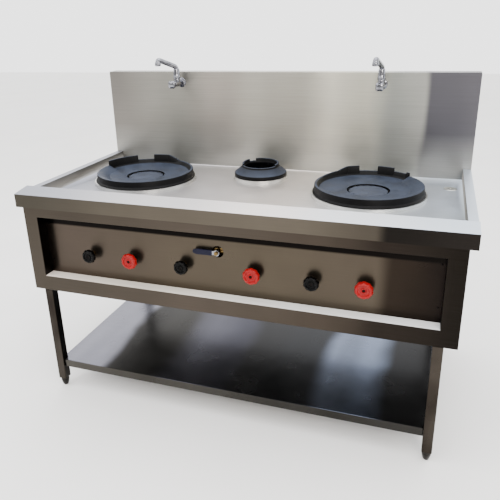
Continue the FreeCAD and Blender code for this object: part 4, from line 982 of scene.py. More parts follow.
def hand_over(piece: Piece, body: str, slot: str, finish: Finish, *replaced: str) -> None:
    """Gives a finished piece its body and material, and hides the nodes that it stands for.

    Args:
        piece: Finished piece.
        body: Body that it rides on.
        slot: Not used.
        finish: Finish of its surface.
        *replaced: Nodes that it stands for.
    """
    piece.data.materials.clear()
    piece.data.materials.append(finish.material())
    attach(piece, body)
    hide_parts(*replaced)
    LOG.info("%s: %d faces on %s", piece.name, len(piece.data.polygons), body)


def dress_node(node: str, finish: Finish) -> None:
    """Gives a carried-over node its finish.

    Args:
        node: Name of the node.
        finish: Finish of its surface.
    """
    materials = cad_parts[node].data.materials
    materials.clear()
    materials.append(finish.material())
    LOG.info("%s: %s", node, finish.name)


# ---------------------------------------------------------------- sheet work
@dataclass
class SheetWork:
    """Folded sheets: copies of the frame's sheets with rounded folds.

    Attributes:
        fold: Rounding of a fold between wide faces, in millimetres.
        edge: Rounding of a cut edge.
        wide: Face width above which a face isn't a cut edge.
        shortest: Length below which an edge is left sharp.
        fold_deg: Smallest angle that counts as a fold.
        smooth_deg: Folds below this angle are shaded smooth.
        slope_deg: Smallest slope that a flat side is parted from.
        level: Part of a normal along one axis from which a face counts as flat.
        flat_deg: Angle below which neighbouring faces are merged into one.
        folded: Sheets whose folds are already round.
        finishes: Slot and finish of each sheet.
    """

    fold: float = 2.2
    edge: float = 0.3
    wide: float = 4.0
    shortest: float = 18.0
    fold_deg: float = 30.0
    smooth_deg: float = 35.0
    slope_deg: float = 3.0
    level: float = 0.99995
    flat_deg: float = 0.5
    folded: tuple[str, ...] = ("worktop",)
    finishes: dict[str, tuple[str, Finish]] = field(
        default_factory=lambda: {
            "worktop": ("steel", TOP_STEEL),
            "splashback": ("steel", SPLASH_STEEL),
            "splashback_cover": ("steel", BODY_STEEL),
            "front_frame": ("front_steel", FRONT_STEEL),
            "control_panel": ("front_steel", PANEL_STEEL),
            "side_panel_left": ("steel", BODY_STEEL),
            "side_panel_right": ("steel", BODY_STEEL),
            "back_panel": ("steel", BODY_STEEL),
            "base_tray": ("steel", BODY_STEEL),
            "undershelf": ("steel", SHELF_STEEL),
        }
    )

    def build(self) -> None:
        """Makes every sheet."""
        for node, (slot, finish) in self.finishes.items():
            sheet = self.rounded_copy(node, node not in self.folded)
            hand_over(sheet, "range_frame", slot, finish, node)

    def rounded_copy(self, node: str, sharp: bool) -> Piece:
        """Copies a sheet, merges it and rounds its long straight folds.

        Args:
            node: Name of the sheet's node.
            sharp: True if the folds still need their rounding.

        Returns:
            The rounded copy.
        """
        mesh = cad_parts[node].data.copy()
        copy = bpy.data.objects.new(f"{node}_sheet", mesh)
        bpy.context.scene.collection.objects.link(copy)
        pick(copy)
        bpy.ops.object.mode_set(mode="EDIT")
        bpy.ops.mesh.select_all(action="SELECT")
        bpy.ops.mesh.remove_doubles(threshold=10 * WELD)
        if sharp:
            bpy.ops.mesh.dissolve_limited(angle_limit=math.radians(self.flat_deg))
        bpy.ops.object.mode_set(mode="OBJECT")
        if sharp:
            self.weigh_folds(mesh)
            bevel = copy.modifiers.new("folds", "BEVEL")
            bevel.limit_method = "WEIGHT"
            bevel.width = self.fold * MM
            bevel.segments = 3
            bevel.use_clamp_overlap = False
            bpy.ops.object.modifier_apply(modifier=bevel.name)
        bpy.ops.object.shade_smooth_by_angle(angle=math.radians(self.smooth_deg))
        self.keep_flats_flat(mesh)
        return copy

    def keep_flats_flat(self, mesh: Mesh) -> None:
        """Ends the smooth shading where a flat side of the sheet meets a slope or a fold.

        Args:
            mesh: Mesh of the sheet.
        """
        for edge, faces in self.shared_edges(mesh):
            first, second = (max(map(abs, face.normal)) > self.level for face in faces)
            slope = faces[0].normal.angle(faces[1].normal, 0.0)
            if first != second and slope > math.radians(self.slope_deg):
                edge.use_edge_sharp = True

    def weigh_folds(self, mesh: Mesh) -> None:
        """Marks the straight folds of a sheet with how far each is to be rounded.

        Args:
            mesh: Mesh of the sheet.
        """
        weights = mesh.attributes.new("bevel_weight_edge", "FLOAT", "EDGE")
        for edge, faces in self.shared_edges(mesh):
            start, end = (mesh.vertices[index].co for index in edge.vertices)
            slope = faces[0].normal.angle(faces[1].normal, 0.0)
            if (end - start).length < self.shortest * MM or slope < math.radians(self.fold_deg):
                continue
            narrow = min(self.width(mesh, face) for face in faces)
            whole = narrow > self.wide * MM
            weights.data[edge.index].value = 1.0 if whole else self.edge / self.fold

    @staticmethod
    def shared_edges(mesh: Mesh) -> list[tuple[Edge, list[Face]]]:
        """Finds the edges that have two faces.

        Args:
            mesh: Mesh of the sheet.

        Returns:
            Each such edge with its faces.
        """
        sides: dict[tuple[int, int], list[Face]] = {}
        for polygon in mesh.polygons:
            for key in polygon.edge_keys:
                sides.setdefault(key, []).append(polygon)
        found = [(edge, sides.get(tuple(sorted(edge.vertices)), [])) for edge in mesh.edges]
        return [(edge, faces) for edge, faces in found if len(faces) == 2]

    @staticmethod
    def width(mesh: Mesh, face: Face) -> float:
        """Works out about how wide a face is across its shorter side.

        Args:
            mesh: Mesh of the sheet.
            face: Face to measure.

        Returns:
            The width in metres.
        """
        corners = mesh.vertices
        around = sum((corners[a].co - corners[b].co).length for a, b in face.edge_keys)
        return 2 * face.area / max(around, WELD**2)


@dataclass
class Stand:
    """Square legs with bullet feet and the front's small screws.

    Attributes:
        foot_gap: Gap between a foot and its leg in millimetres.
        screw_radius: Radius of a pan-head screw.
        screw_inset: Distance of the screws from the panel's edge.
        screw_low: Height of the lower screws above the panel's bottom.
        screw_high: Depth of the upper screws below the panel's top.
    """

    foot_gap: float = 0.3
    screw_radius: float = 4.0
    screw_inset: float = 24.0
    screw_low: float = 68.0
    screw_high: float = 54.0

    def build(self) -> None:
        """Makes the feet and screws and dresses the legs and stiffeners."""
        for corner in ("front_left", "front_right", "rear_left", "rear_right"):
            dress_node(f"leg_{corner}", LEG_STEEL)
            self.foot(corner)
        dress_node("shelf_stiffeners", BODY_STEEL)
        self.screws()

    def foot(self, corner: str) -> None:
        """Makes one bullet foot with a grooved collar.

        Args:
            corner: Corner of the stand that it carries.
        """
        node = f"foot_{corner}"
        low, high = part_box(node)
        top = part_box(f"leg_{corner}")[0].z / MM - self.foot_gap
        radius = (high.x - low.x) / 2 / MM
        profile = [
            (8.0, 0.0), (10.0, 0.6), (12.6, 6.0), (15.0, 14.0), (16.8, 22.0),
            (radius, top - 12.0), (radius, top - 8.0), (radius - 1.0, top - 7.0),
            (radius - 1.0, top - 6.0), (radius, top - 5.0), (radius, top), (5.0, top),
            (5.0, high.z / MM),
        ]
        place = Vector(((low.x + high.x) / 2, (low.y + high.y) / 2, 0))
        foot = round_edges(turned(f"{node}_bullet", profile, place), 0.7)
        hand_over(foot, f"levelling_foot_{corner}", "steel", FOOT_STEEL, node)

    def screws(self) -> None:
        """Puts pan-head screws near the ends of the valve panel."""
        low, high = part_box("control_panel")
        across = high.x - self.screw_inset * MM
        radius = self.screw_radius
        profile = [(radius, 0.0), (radius, 0.8), (radius * 0.7, 2.0), (radius * 0.3, 2.4)]
        heads = []
        for x in (-across, across):
            for z in (low.z + self.screw_low * MM, high.z - self.screw_high * MM):
                heads.append(turned("screw", profile, Vector((x, low.y, z)), Facing.FRONT, 20))
        whole = joined("panel_screws", [round_edges(head, 0.3) for head in heads])
        hand_over(whole, "range_frame", "steel", DARK_SCREW)


# ---------------------------------------------------------------- cast rings
@dataclass(frozen=True)
class Arc:
    """Arc of a ring's wall.

    Attributes:
        start_deg: Angle at which it starts, from straight right towards the back.
        sweep_deg: Angle that it takes; negative values run to the right.
        height: Height of its top at the start, in millimetres.
        end_height: Height of its top at the end.
    """

    start_deg: float
    sweep_deg: float
    height: float = 0.0
    end_height: float = 0.0

    def share(self, point: Vector) -> float:
        """Works out how far round the arc a point lies.

        Args:
            point: Point, with the ring's centre at the origin.

        Returns:
            Zero at the arc's start and one at its end.
        """
        turn = math.degrees(math.atan2(point.y, point.x)) - self.start_deg
        half = self.sweep_deg / 2
        return (math.remainder(turn - half, 360.0) + half) / self.sweep_deg

    def cast(
        self, profile: Profile, seat: Vector, rounding: float, level: float = math.inf
    ) -> Piece:
        """Turns a profile over the arc and slopes its top.

        Args:
            profile: Closed profile in millimetres, its top at the arc's starting height.
            seat: Centre of the ring's seat in metres.
            rounding: Width of the rounded edges in millimetres.
            level: Height in millimetres above which points follow the slope.

        Returns:
            The cast arc.
        """
        sweep = abs(self.sweep_deg)
        facets = max(4, round(sweep / 2))
        steps = round(360 / sweep * facets)
        piece = turned("arc", profile, Vector((0, 0, 0)), steps=steps, ring=True)
        settle(piece, Matrix.Rotation(math.radians(self.start_deg), 4, "Z"))
        slack = 180 / steps / sweep
        bpy.ops.object.mode_set(mode="EDIT")
        bpy.ops.mesh.select_all(action="DESELECT")
        bpy.ops.object.mode_set(mode="OBJECT")
        for vertex in piece.data.vertices:
            vertex.select = not -slack < self.share(vertex.co) < 1 + slack
        bpy.ops.object.mode_set(mode="EDIT")
        bpy.ops.mesh.delete(type="VERT")
        bpy.ops.mesh.select_all(action="SELECT")
        bpy.ops.mesh.region_to_loop()
        bpy.ops.mesh.edge_face_add()
        bpy.ops.mesh.select_all(action="SELECT")
        bpy.ops.mesh.normals_make_consistent(inside=False)
        bpy.ops.object.mode_set(mode="OBJECT")
        for vertex in piece.data.vertices:
            if vertex.co.z > level * MM:
                fall = min(max(self.share(vertex.co), 0.0), 1.0)
                vertex.co.z += fall * (self.end_height - self.height) * MM
        settle(piece, Matrix.Translation(seat))
        return round_edges(piece, rounding, segments=3, angle_deg=35.0)


@dataclass
class LiftOffRing:
    """Cast ring that rests on the collar of a burner's well and lifts off.

    Attributes:
        node: Node that the ring stands for.
        place: "left", "centre" or "right".
        lip_drop: Depth of the centring lip below the seat in millimetres.
    """

    node: str
    place: str
    lip_drop: float = field(default=8.0, kw_only=True)

    def build(self) -> None:
        """Makes the ring."""
        low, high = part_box(self.node)
        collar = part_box(f"burner_well_{self.place}")[1].z
        seat = Vector(((low.x + high.x) / 2, (low.y + high.y) / 2, collar))
        whole = joined(f"{self.node}_casting", self.pieces((high.x - low.x) / 2 / MM, seat))
        hand_over(whole, f"lift_off_ring_{self.place}", "cast_iron", RING_IRON, self.node)

    def pieces(self, radius: float, seat: Vector) -> list[Piece]:
        """Makes the ring's pieces.

        Args:
            radius: Outer radius in millimetres.
            seat: Centre of the seat in metres.

        Returns:
            The pieces, the turned body first.
        """
        raise NotImplementedError


@dataclass
class WokRing(LiftOffRing):
    """Large ring: a dished floor, a notched wall at the back and a sloping lip elsewhere.

    Attributes:
        walls: Arcs of the raised wall.
        lip: Arc of the sloping lip.
        rim_height: Height of the low rim above the well, in millimetres.
        floor_height: Height of the dish's edge.
        dish_fall: Fall of the dish from its edge to the opening.
        opening: Radius of the flame opening.
        lip_width: Width of the sloping lip.
    """

    walls: Sequence[Arc]
    lip: Arc
    rim_height: float = 35.0
    floor_height: float = 17.0
    dish_fall: float = 7.0
    opening: float = 88.0
    lip_width: float = 46.0

    def pieces(self, radius: float, seat: Vector) -> list[Piece]:
        """Makes the turned body, the sloping lip and the walls."""
        walls = [self.wall(arc, radius - 9.0, seat) for arc in self.walls]
        return [self.body(radius, seat), self.spill_lip(radius - 18.0, seat), *walls]

    def body(self, radius: float, seat: Vector) -> Piece:
        """Makes the turned ring with its rim and dish.

        Args:
            radius: Outer radius in millimetres.
            seat: Centre of the ring's seat in metres.

        Returns:
            The ring.
        """
        rim = radius - 8.0
        floor, fall = self.floor_height, self.dish_fall
        profile = [
            (radius, 0.0), (radius, 3.0), (rim + 2.0, 10.0), (rim, self.rim_height),
            (rim - 10.0, self.rim_height), (rim - 21.0, floor),
            (rim - 60.0, floor - fall * 0.37), (self.opening + 6.0, floor - fall * 0.95),
            (self.opening, floor - fall - 1.0), (self.opening, floor - fall - 6.0),
            (rim - 22.0, floor - 6.0), (rim - 22.0, -self.lip_drop),
            (rim - 17.0, -self.lip_drop), (rim - 17.0, 0.0),
        ]
        ring = turned("ring", profile, seat, steps=144, ring=True)
        return round_edges(ring, 2.0, segments=3, angle_deg=20.0)

    def spill_lip(self, inner: float, seat: Vector) -> Piece:
        """Makes the lip that leads the dish up to the inside of the rim.

        Args:
            inner: Radius inside the rim in millimetres.
            seat: Centre of the ring's seat in metres.

        Returns:
            The lip.
        """
        foot = inner - self.lip_width
        floor, edge = self.floor_height, inner - 11.0
        low = floor - self.dish_fall * (edge - foot) / (edge - self.opening)
        profile = [
            (inner + 1.0, self.rim_height - 0.2), (foot, low - 0.4), (foot, low - 3.0),
            (inner + 1.0, floor - 3.0),
        ]
        return self.lip.cast(profile, seat, 0.4)

    def wall(self, arc: Arc, radius: float, seat: Vector) -> Piece:
        """Makes one arc of the raised wall.

        Args:
            arc: Arc to cast.
            radius: Outer radius of the wall in millimetres.
            seat: Centre of the ring's seat in metres.

        Returns:
            The wall.
        """
        profile = [
            (radius, self.rim_height - 8.0), (radius - 1.0, arc.height),
            (radius - 9.0, arc.height), (radius - 17.0, self.floor_height + 2.0),
        ]
        return arc.cast(profile, seat, 2.2, self.rim_height)


@dataclass
class StockPotRing(LiftOffRing):
    """Small cone with a low rim round its opening and raised walls left, behind and right.

    Attributes:
        foot_height: Height of the straight foot in millimetres.
        cone_height: Height of the cone.
        top_radius: Radius at the top of the cone.
        rim_height: Height of the low rim above the well.
        wall_height: Height of the raised walls above the well.
        wall_fall: Fall of a wall's top from its start to its end.
        walls: Start and sweep of each raised wall in degrees.
    """

    foot_height: float = 16.0
    cone_height: float = 43.0
    top_radius: float = 88.0
    rim_height: float = 50.0
    wall_height: float = 61.0
    wall_fall: float = 4.0
    walls: tuple[tuple[float, float], ...] = ((147.25, 62.0), (122.75, -142.0))

    def pieces(self, radius: float, seat: Vector) -> list[Piece]:
        """Makes the cone and its walls.

        Args:
            radius: Outer radius in millimetres.
            seat: Centre of the ring's seat in metres.

        Returns:
            The cone first, and then its walls.
        """
        top, cone, height = self.top_radius, self.cone_height, self.wall_height
        profile = [
            (top - 1.4, cone + 1.0), (top - 2.0, height), (top - 10.0, height),
            (top - 13.0, cone),
        ]
        arcs = [Arc(start, sweep, height, height - self.wall_fall) for start, sweep in self.walls]
        walls = [arc.cast(profile, seat, 1.8, self.rim_height) for arc in arcs]
        return [self.cone(radius, seat), *walls]

    def cone(self, radius: float, seat: Vector) -> Piece:
        """Makes the cone with its foot, its low rim and its centring lip.

        Args:
            radius: Outer radius in millimetres.
            seat: Centre of the ring's seat in metres.

        Returns:
            The cone.
        """
        rim, bore = self.top_radius - 2.0, self.top_radius - 14.0
        lip = radius - 26.5
        profile = [
            (radius, 0.0), (radius, self.foot_height), (radius - 5.0, self.foot_height + 3.0),
            (self.top_radius, self.cone_height), (rim, self.rim_height),
            (rim - 8.0, self.rim_height), (bore, self.cone_height + 1.0),
            (bore, self.cone_height - 6.0), (lip - 5.0, self.foot_height - 6.0),
            (lip - 5.0, -self.lip_drop), (lip, -self.lip_drop), (lip, 0.0),
        ]
        cone = turned("cone", profile, seat, steps=96, ring=True)
        return round_edges(cone, 1.8, segments=3, angle_deg=20.0)


LEFT_WALLS = (
    Arc(127.75, 44.0, 58.0, 58.0),
    Arc(106.25, -22.0, 58.0, 58.0),
    Arc(84.25, -12.0, 58.0, 43.0),
    Arc(72.25, -5.0, 43.0, 36.0),
)
RIGHT_WALLS = (
    Arc(107.75, 15.0, 58.0, 58.0),
    Arc(122.75, 12.0, 58.0, 43.0),
    Arc(134.75, 28.0, 43.0, 36.0),
    Arc(86.25, -20.0, 58.0, 58.0),
    Arc(66.25, -17.0, 43.0, 43.0),
    Arc(49.25, -4.0, 51.0, 51.0),
)


# ---------------------------------------------------------------- controls
@dataclass
class Knob:
    """Handwheel knob: a neck, a grooved rim, a dished face and a screw in its middle.

    Attributes:
        kind: "main" or "pilot".
        place: "left", "centre" or "right".
        finish: Finish of the moulding.
        slot: Material slot in the record.
        grooves: Number of finger grooves.
        groove_depth: Depth of a groove at the rim in millimetres.
    """

    kind: str
    place: str
    finish: Finish
    slot: str
    grooves: int = 10
    groove_depth: float = 1.9

    def build(self) -> None:
        """Makes the knob and its screw."""
        node = f"{self.kind}_knob_{self.place}"
        low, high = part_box(node)
        centre = (low + high) / 2
        radius, depth = (high.z - low.z) / 2 / MM, (high.y - low.y) / MM
        start = Vector((centre.x, high.y, centre.z))
        profile = [
            (8.5, 0.2), (10.5, 1.0), (10.0, 4.0), (13.0, 6.4), (radius - 7.0, 7.2),
            (radius - 2.4, 9.6), (radius - 0.2, 14.5), (radius - 0.4, 19.5),
            (radius - 2.6, 24.4), (radius - 6.5, depth - 0.6), (radius - 9.5, depth - 0.1),
            (radius - 12.0, depth - 1.8), (radius - 13.5, depth - 6.5),
            (radius - 17.5, depth - 8.0), (11.5, depth - 7.6), (10.0, depth - 4.6),
            (7.0, depth - 4.0), (6.4, depth - 6.8), (1.0, depth - 6.8),
        ]
        knob = turned(f"{node}_moulding", profile, start, Facing.FRONT, 120)
        press_grooves(knob, centre, self.grooves, self.groove_depth, radius - 12.0)
        body = f"{self.kind}_control_{self.place}"
        hand_over(round_edges(knob, 0.8, angle_deg=28.0), body, self.slot, self.finish, node)
        self.screw(body, start, depth - 6.9)

    def screw(self, body: str, place: Vector, seat: float) -> None:
        """Makes the socket screw in the middle of the knob.

        Args:
            body: Body that the knob rides on.
            place: Middle of the knob's back in metres.
            seat: Height of the screw's seat above it in millimetres.
        """
        profile = [
            (5.6, seat), (5.6, seat + 1.6), (3.0, seat + 2.0), (2.8, seat + 0.6),
            (0.8, seat + 0.6),
        ]
        name = f"{self.kind}_knob_screw_{self.place}"
        screw = turned(name, profile, place, Facing.FRONT, 24)
        hand_over(round_edges(screw, 0.3), body, "brass", DARK_SCREW)


@dataclass
class StopValveLever:
    """Soft sleeve of the stop valve's lever, rounded and slightly waisted.

    Attributes:
        waist: Height of the sleeve at its waist, as a share of the whole.
        waist_at: Place of the waist, from minus one at the tip to one at the valve.
        waist_spread: How gently the sleeve narrows to its waist.
        tip_from: Place where the rounded tip starts, measured the same way.
        tip_least: Square of the tip's height, as a share of the whole.
    """

    waist: float = 0.9
    waist_at: float = 0.35
    waist_spread: float = 0.12
    tip_from: float = 0.8
    tip_least: float = 0.25

    def build(self) -> None:
        """Makes the sleeve and dresses the valve."""
        low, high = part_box("lever_sleeve")
        sleeve = block("lever_sleeve_dipped", low, high)
        bpy.ops.object.mode_set(mode="EDIT")
        bpy.ops.mesh.select_all(action="SELECT")
        bpy.ops.mesh.subdivide(number_cuts=5)
        bpy.ops.object.mode_set(mode="OBJECT")
        centre, half = (low + high) / 2, (high - low) / 2
        for vertex in sleeve.data.vertices:
            along = (vertex.co.x - centre.x) / half.x
            tip = max(0.0, -along - self.tip_from) / (1 - self.tip_from)
            narrowing = math.sqrt(max(1 - tip * tip, self.tip_least))
            away = (along - self.waist_at) ** 2
            grip = 1 - (1 - self.waist) * math.exp(-away / self.waist_spread)
            vertex.co.z = centre.z + (vertex.co.z - centre.z) * narrowing * grip
        pick(sleeve)
        smooth = sleeve.modifiers.new("soft skin", "SUBSURF")
        smooth.levels = smooth.render_levels = 2
        bpy.ops.object.modifier_apply(modifier=smooth.name)
        bpy.ops.object.shade_smooth()
        hand_over(sleeve, "water_lever", "blue_sleeve", BLUE_VINYL, "lever_sleeve")
        dress_node("ball_valve_lever", CHROME)
        dress_node("ball_valve_stem", BRASS)
        dress_node("ball_valve_body", BRASS)


@dataclass
class Tap:
    """Swing tap: rose, barrel, lobed handle and a rising spout with a turned-down nozzle.

    Attributes:
        side: "left" or "right".
        turn_deg: Angle of the spout from straight ahead towards the left.
        pivot_out: Distance of the spout's pivot from the upstand, in millimetres.
        handle_out: Distance of the handle's back from the upstand.
        reach: Distance from the pivot to the nozzle.
        arm_heights: Heights of the arm's start, knee, peak and mouth above the pivot.
        arm_radius: Radius of the arm.
        arm_bend: Distance from a corner at which its bend starts.
        foot_gap: Gap under the spout's foot.
        lobes: Number of hollows between the handle's lobes.
        lobe_depth: Depth of a hollow at the handle's edge.
        lobe_sharpness: Higher values make narrower hollows.
        barrel: Profile of the rose, barrel and gland.
        tail: Profile of the tail behind the upstand.
        foot: Profile of the spout's foot.
        nozzle: Profile of the nozzle.
    """

    side: str
    turn_deg: float
    pivot_out: float = 50.0
    handle_out: float = 100.0
    reach: float = 110.0
    arm_heights: tuple[float, float, float, float] = (30.0, 55.0, 96.0, 66.0)
    arm_radius: float = 11.8
    arm_bend: float = 16.0
    foot_gap: float = 0.2
    lobes: int = 4
    lobe_depth: float = 3.6
    lobe_sharpness: float = 1.4
    barrel: Profile = (
        (23.6, 0.0), (24.0, 1.2), (22.0, 3.6), (15.5, 5.6), (13.6, 9.0), (13.5, 32.0),
        (15.2, 38.0), (15.4, 60.0), (13.5, 66.0), (13.5, 78.0), (15.0, 79.0), (15.0, 90.0),
        (13.6, 92.0), (10.4, 92.4), (10.4, 99.6),
    )
    tail: Profile = ((10.2, 0.0), (10.2, 18.8))
    foot: Profile = (
        (17.6, 0.0), (18.0, 1.0), (18.0, 8.0), (17.0, 10.0), (16.4, 22.0), (14.6, 40.0),
        (14.2, 44.0), (11.9, 47.0),
    )
    nozzle: Profile = (
        (8.4, 1.0), (8.8, 0.0), (12.8, 0.6), (14.4, 4.0), (14.6, 10.0), (13.8, 15.0),
        (11.9, 19.0),
    )

    def build(self) -> None:
        """Makes the tap's body, handle and spout."""
        low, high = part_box(f"tap_body_{self.side}")
        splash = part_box("splashback")[0].y
        centre = Vector(((low.x + high.x) / 2, splash, low.z + (high.x - low.x) / 2))
        pivot = Vector((centre.x, splash - self.pivot_out * MM, high.z))
        self.body(centre, pivot)
        self.handle(centre)
        self.spout(pivot)

    def body(self, centre: Vector, pivot: Vector) -> None:
        """Makes the rose, barrel, gland, tail and the spout's boss.

        Args:
            centre: Middle of the rose in metres.
            pivot: Foot of the spout in metres.
        """
        top = (pivot.z - centre.z) / MM
        boss = ((13.0, 2.0), (13.4, 9.0), (15.4, 10.4), (15.5, top), (8.1, top))
        pieces = [
            turned("barrel", self.barrel, centre, Facing.FRONT),
            turned("boss", boss, Vector((pivot.x, pivot.y, centre.z))),
            turned("tail", self.tail, centre, Facing.BACK, 32),
        ]
        rounded = [round_edges(piece, 0.6, angle_deg=25.0) for piece in pieces]
        whole = joined(f"tap_body_{self.side}_cock", rounded)
        hand_over(whole, "range_frame", "chrome", CHROME, f"tap_body_{self.side}")

    def handle(self, centre: Vector) -> None:
        """Makes the lobed handle with its domed button.

        Args:
            centre: Middle of the rose in metres.
        """
        node = f"tap_handle_{self.side}"
        start = centre - Vector((0, self.handle_out * MM, 0))
        depth = (start.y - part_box(node)[0].y) / MM
        profile = [
            (10.0, 1.4), (11.0, 3.0), (17.0, 4.6), (20.6, 8.5), (21.0, 13.0), (19.4, 17.5),
            (15.0, 20.0), (9.0, depth - 0.6), (3.0, depth - 0.1),
        ]
        handle = turned("handle", profile, start, Facing.FRONT, 96)
        press_grooves(handle, centre, self.lobes, self.lobe_depth, 10.0, self.lobe_sharpness)
        body = f"tap_control_{self.side}"
        hand_over(round_edges(handle, 0.8, angle_deg=40.0), body, "chrome", CHROME, node)

    def spout(self, pivot: Vector) -> None:
        """Makes the tapered foot, the rising arm and the nozzle.

        Args:
            pivot: Foot of the spout in metres.
        """
        turn = math.radians(self.turn_deg)
        ahead = Vector((-math.sin(turn), -math.cos(turn), 0)) * self.reach * MM
        start, knee, peak, mouth = (pivot + Vector((0, 0, z * MM)) for z in self.arm_heights)
        points = [start, knee, peak + ahead, mouth + ahead]
        arm = tube_along("arm", points, self.arm_radius, self.arm_bend)
        foot = turned("foot", self.foot, pivot + Vector((0, 0, self.foot_gap * MM)))
        nozzle = turned("nozzle", self.nozzle, mouth + ahead)
        round_edges(foot, 0.6, angle_deg=25.0)
        round_edges(nozzle, 0.5, angle_deg=25.0)
        pieces = [arm, foot, nozzle]
        whole = joined(f"tap_spout_{self.side}_arm", pieces)
        body = f"swing_spout_{self.side}"
        hand_over(whole, body, "chrome", CHROME, f"tap_spout_{self.side}")


@dataclass
class Works:
    """Burners, wells, valves and pipes, carried over from the frame with their finishes.

    Attributes:
        finishes: Finish of each single node.
        repeated: Finish of each node that there is one of per burner, by the node's first words.
    """

    finishes: dict[str, Finish] = field(
        default_factory=lambda: {
            "gas_rail": ZINC,
            "water_inlet_pipe": ZINC,
            "water_riser": ZINC,
            "main_valves": BRASS,
            "pilot_valves": BRASS,
            "panel_nuts": BRASS,
            "gas_feeds": COPPER,
            "pilot_tubes": COPPER,
            "drain_fitting": WELL_STEEL,
        }
    )
    repeated: dict[str, Finish] = field(
        default_factory=lambda: {
            "burner_well": WELL_STEEL,
            "burner": BURNER_IRON,
            "main_spindle": BRASS,
            "pilot_spindle": BRASS,
        }
    )

    def build(self) -> None:
        """Dresses every carried-over piece."""
        for node, finish in self.finishes.items():
            dress_node(node, finish)
        for place in ("left", "centre", "right"):
            for words, finish in self.repeated.items():
                dress_node(f"{words}_{place}", finish)


# ---------------------------------------------------------------- studio
@dataclass(frozen=True)
class Lamp:
    """Soft rectangular lamp.

    Attributes:
        name: Name of the lamp.
        place: Its position in metres.
        target: Point that it faces.
        size: Width and height of its face.
        watts: Its power.
        colour: Its colour as sRGB hex.
    """

    name: str
    place: tuple[float, float, float]
    target: tuple[float, float, float]
    size: tuple[float, float]
    watts: float
    colour: str

    def build(self) -> None:
        """Makes the lamp."""
        light = bpy.data.lights.new(self.name, "AREA")
        light.shape = "RECTANGLE"
        light.size, light.size_y = self.size
        light.energy = self.watts
        light.color = linear(self.colour)[:3]
        lamp = bpy.data.objects.new(self.name, light)
        bpy.context.scene.collection.objects.link(lamp)
        lamp.location = self.place
        ahead = Vector(self.target) - Vector(self.place)
        lamp.rotation_mode = "QUATERNION"
        lamp.rotation_quaternion = ahead.to_track_quat("-Z", "Y")


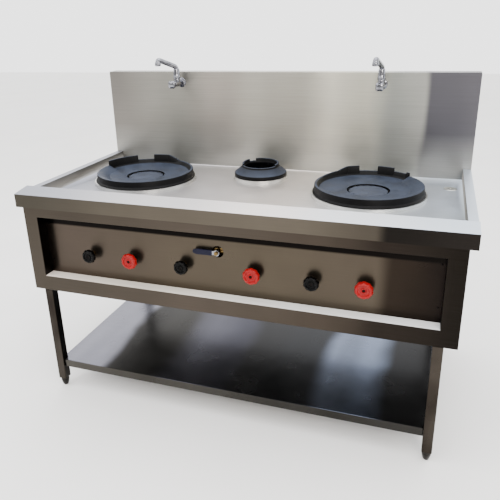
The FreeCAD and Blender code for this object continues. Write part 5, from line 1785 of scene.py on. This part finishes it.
@dataclass
class Studio:
    """Pale floor, soft light and a camera at the photograph's viewing angle.

    Attributes:
        eye: Camera position in metres.
        right: Camera's right-hand direction.
        ahead: Camera's viewing direction.
        lens_mm: Focal length.
        sensor_mm: Width of the sensor.
        shift: Framing shift as a share of the picture.
        sky_strength: Brightness of the sky.
        sky_low: Colour of the sky low down in front, dim so that the steel mirrors a dark room.
        sky_high: Colour of the rest of the sky.
        sky_limits: Directions between which the sky brightens, backwards and upwards.
        floor_size: Side of the floor in metres.
        lamps: The soft lamps.
    """

    eye: Vector = field(default_factory=lambda: Vector((0.7342, -2.2490, 1.5921)))
    right: Vector = field(default_factory=lambda: Vector((0.9451, 0.3258, -0.0270)))
    ahead: Vector = field(default_factory=lambda: Vector((-0.3147, 0.8843, -0.3448)))
    lens_mm: float = 40.36
    sensor_mm: float = 36.0
    shift: tuple[float, float] = (0.020, -0.0496)
    sky_strength: float = 2.9
    sky_low: str = "#8F8D8B"
    sky_high: str = "#FFFFFF"
    sky_limits: tuple[tuple[str, float, float], ...] = (("Y", -0.5, 0.2), ("Z", 0.3, 0.75))
    floor_size: float = 30.0
    lamps: tuple[Lamp, ...] = (
        Lamp("key", (-2.6, -2.6, 3.6), (0.0, 0.0, 0.9), (4.6, 3.6), 110.0, "#FFFFFF"),
        Lamp("top", (0.2, 0.3, 3.8), (0.0, 0.1, 0.9), (4.4, 2.8), 90.0, "#F6F7FF"),
        Lamp("front", (1.9, -3.2, 2.3), (0.4, -0.4, 0.6), (1.6, 1.2), 95.0, "#FFF8F0"),
    )

    def build(self) -> None:
        """Makes the floor, the light and the camera."""
        self.floor()
        self.sky()
        for lamp in self.lamps:
            lamp.build()
        self.camera()

    def floor(self) -> None:
        """Makes the floor."""
        bpy.ops.object.select_all(action="DESELECT")
        bpy.ops.mesh.primitive_grid_add(x_subdivisions=8, y_subdivisions=8, size=self.floor_size)
        floor = bpy.context.object
        floor.name = "studio_floor"
        floor.data.materials.append(FLOOR_PAINT.material())

    def sky(self) -> None:
        """Makes an even bright sky that is dim low down in front."""
        world = bpy.data.worlds.new("studio sky")
        bpy.context.scene.world = world
        world.use_nodes = True
        tree = world.node_tree
        tree.nodes.clear()
        place = add_node(tree, "ShaderNodeTexCoord").outputs["Generated"]
        parts = add_node(tree, "ShaderNodeSeparateXYZ", {"Vector": place})
        shares = {}
        for number, (axis, start, end) in enumerate(self.sky_limits):
            limits = {"Value": parts.outputs[axis], "From Min": start, "From Max": end}
            shares[number] = add_node(tree, "ShaderNodeMapRange", limits).outputs["Result"]
        bright = add_node(tree, "ShaderNodeMath", shares, operation="MAXIMUM").outputs["Value"]
        colours = {0: bright, 6: self.sky_low, 7: self.sky_high}
        mixed = add_node(tree, "ShaderNodeMix", colours, data_type="RGBA").outputs[2]
        inputs = {"Color": mixed, "Strength": self.sky_strength}
        glow = add_node(tree, "ShaderNodeBackground", inputs).outputs["Background"]
        add_node(tree, "ShaderNodeOutputWorld", {"Surface": glow})

    def camera(self) -> None:
        """Makes the camera."""
        data = bpy.data.cameras.new("camera")
        data.lens = self.lens_mm
        data.sensor_width = self.sensor_mm
        data.shift_x, data.shift_y = self.shift
        camera = bpy.data.objects.new("camera", data)
        bpy.context.scene.collection.objects.link(camera)
        ahead = self.ahead.normalized()
        right = (self.right - ahead * self.right.dot(ahead)).normalized()
        turn = Matrix((right, right.cross(ahead), -ahead)).transposed()
        camera.matrix_world = Matrix.Translation(self.eye) @ turn.to_4x4()
        bpy.context.scene.camera = camera


def corners(box: tuple[Vector, Vector]) -> list[list[float]]:
    """Returns a box's corners as plain lists."""
    return [list(corner) for corner in box]


def main() -> None:
    logging.basicConfig(level=logging.INFO, format="%(name)s: %(message)s")
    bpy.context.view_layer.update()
    sub_assemblies: list[Any] = [
        Studio(),
        SheetWork(),
        Stand(),
        Works(),
        WokRing("wok_ring_left", "left", LEFT_WALLS, Arc(171.75, 200.0)),
        WokRing("wok_ring_right", "right", RIGHT_WALLS, Arc(-154.75, 200.0)),
        StockPotRing("stock_pot_ring", "centre"),
        StopValveLever(),
        Tap("left", 26.0),
        Tap("right", 9.0),
    ]
    for place in ("left", "centre", "right"):
        sub_assemblies.append(Knob("main", place, BLACK_PHENOLIC, "black_knob"))
        sub_assemblies.append(Knob("pilot", place, RED_PHENOLIC, "red_knob"))
    for sub_assembly in sub_assemblies:
        sub_assembly.build()


if __name__ == "__main__":
    main()
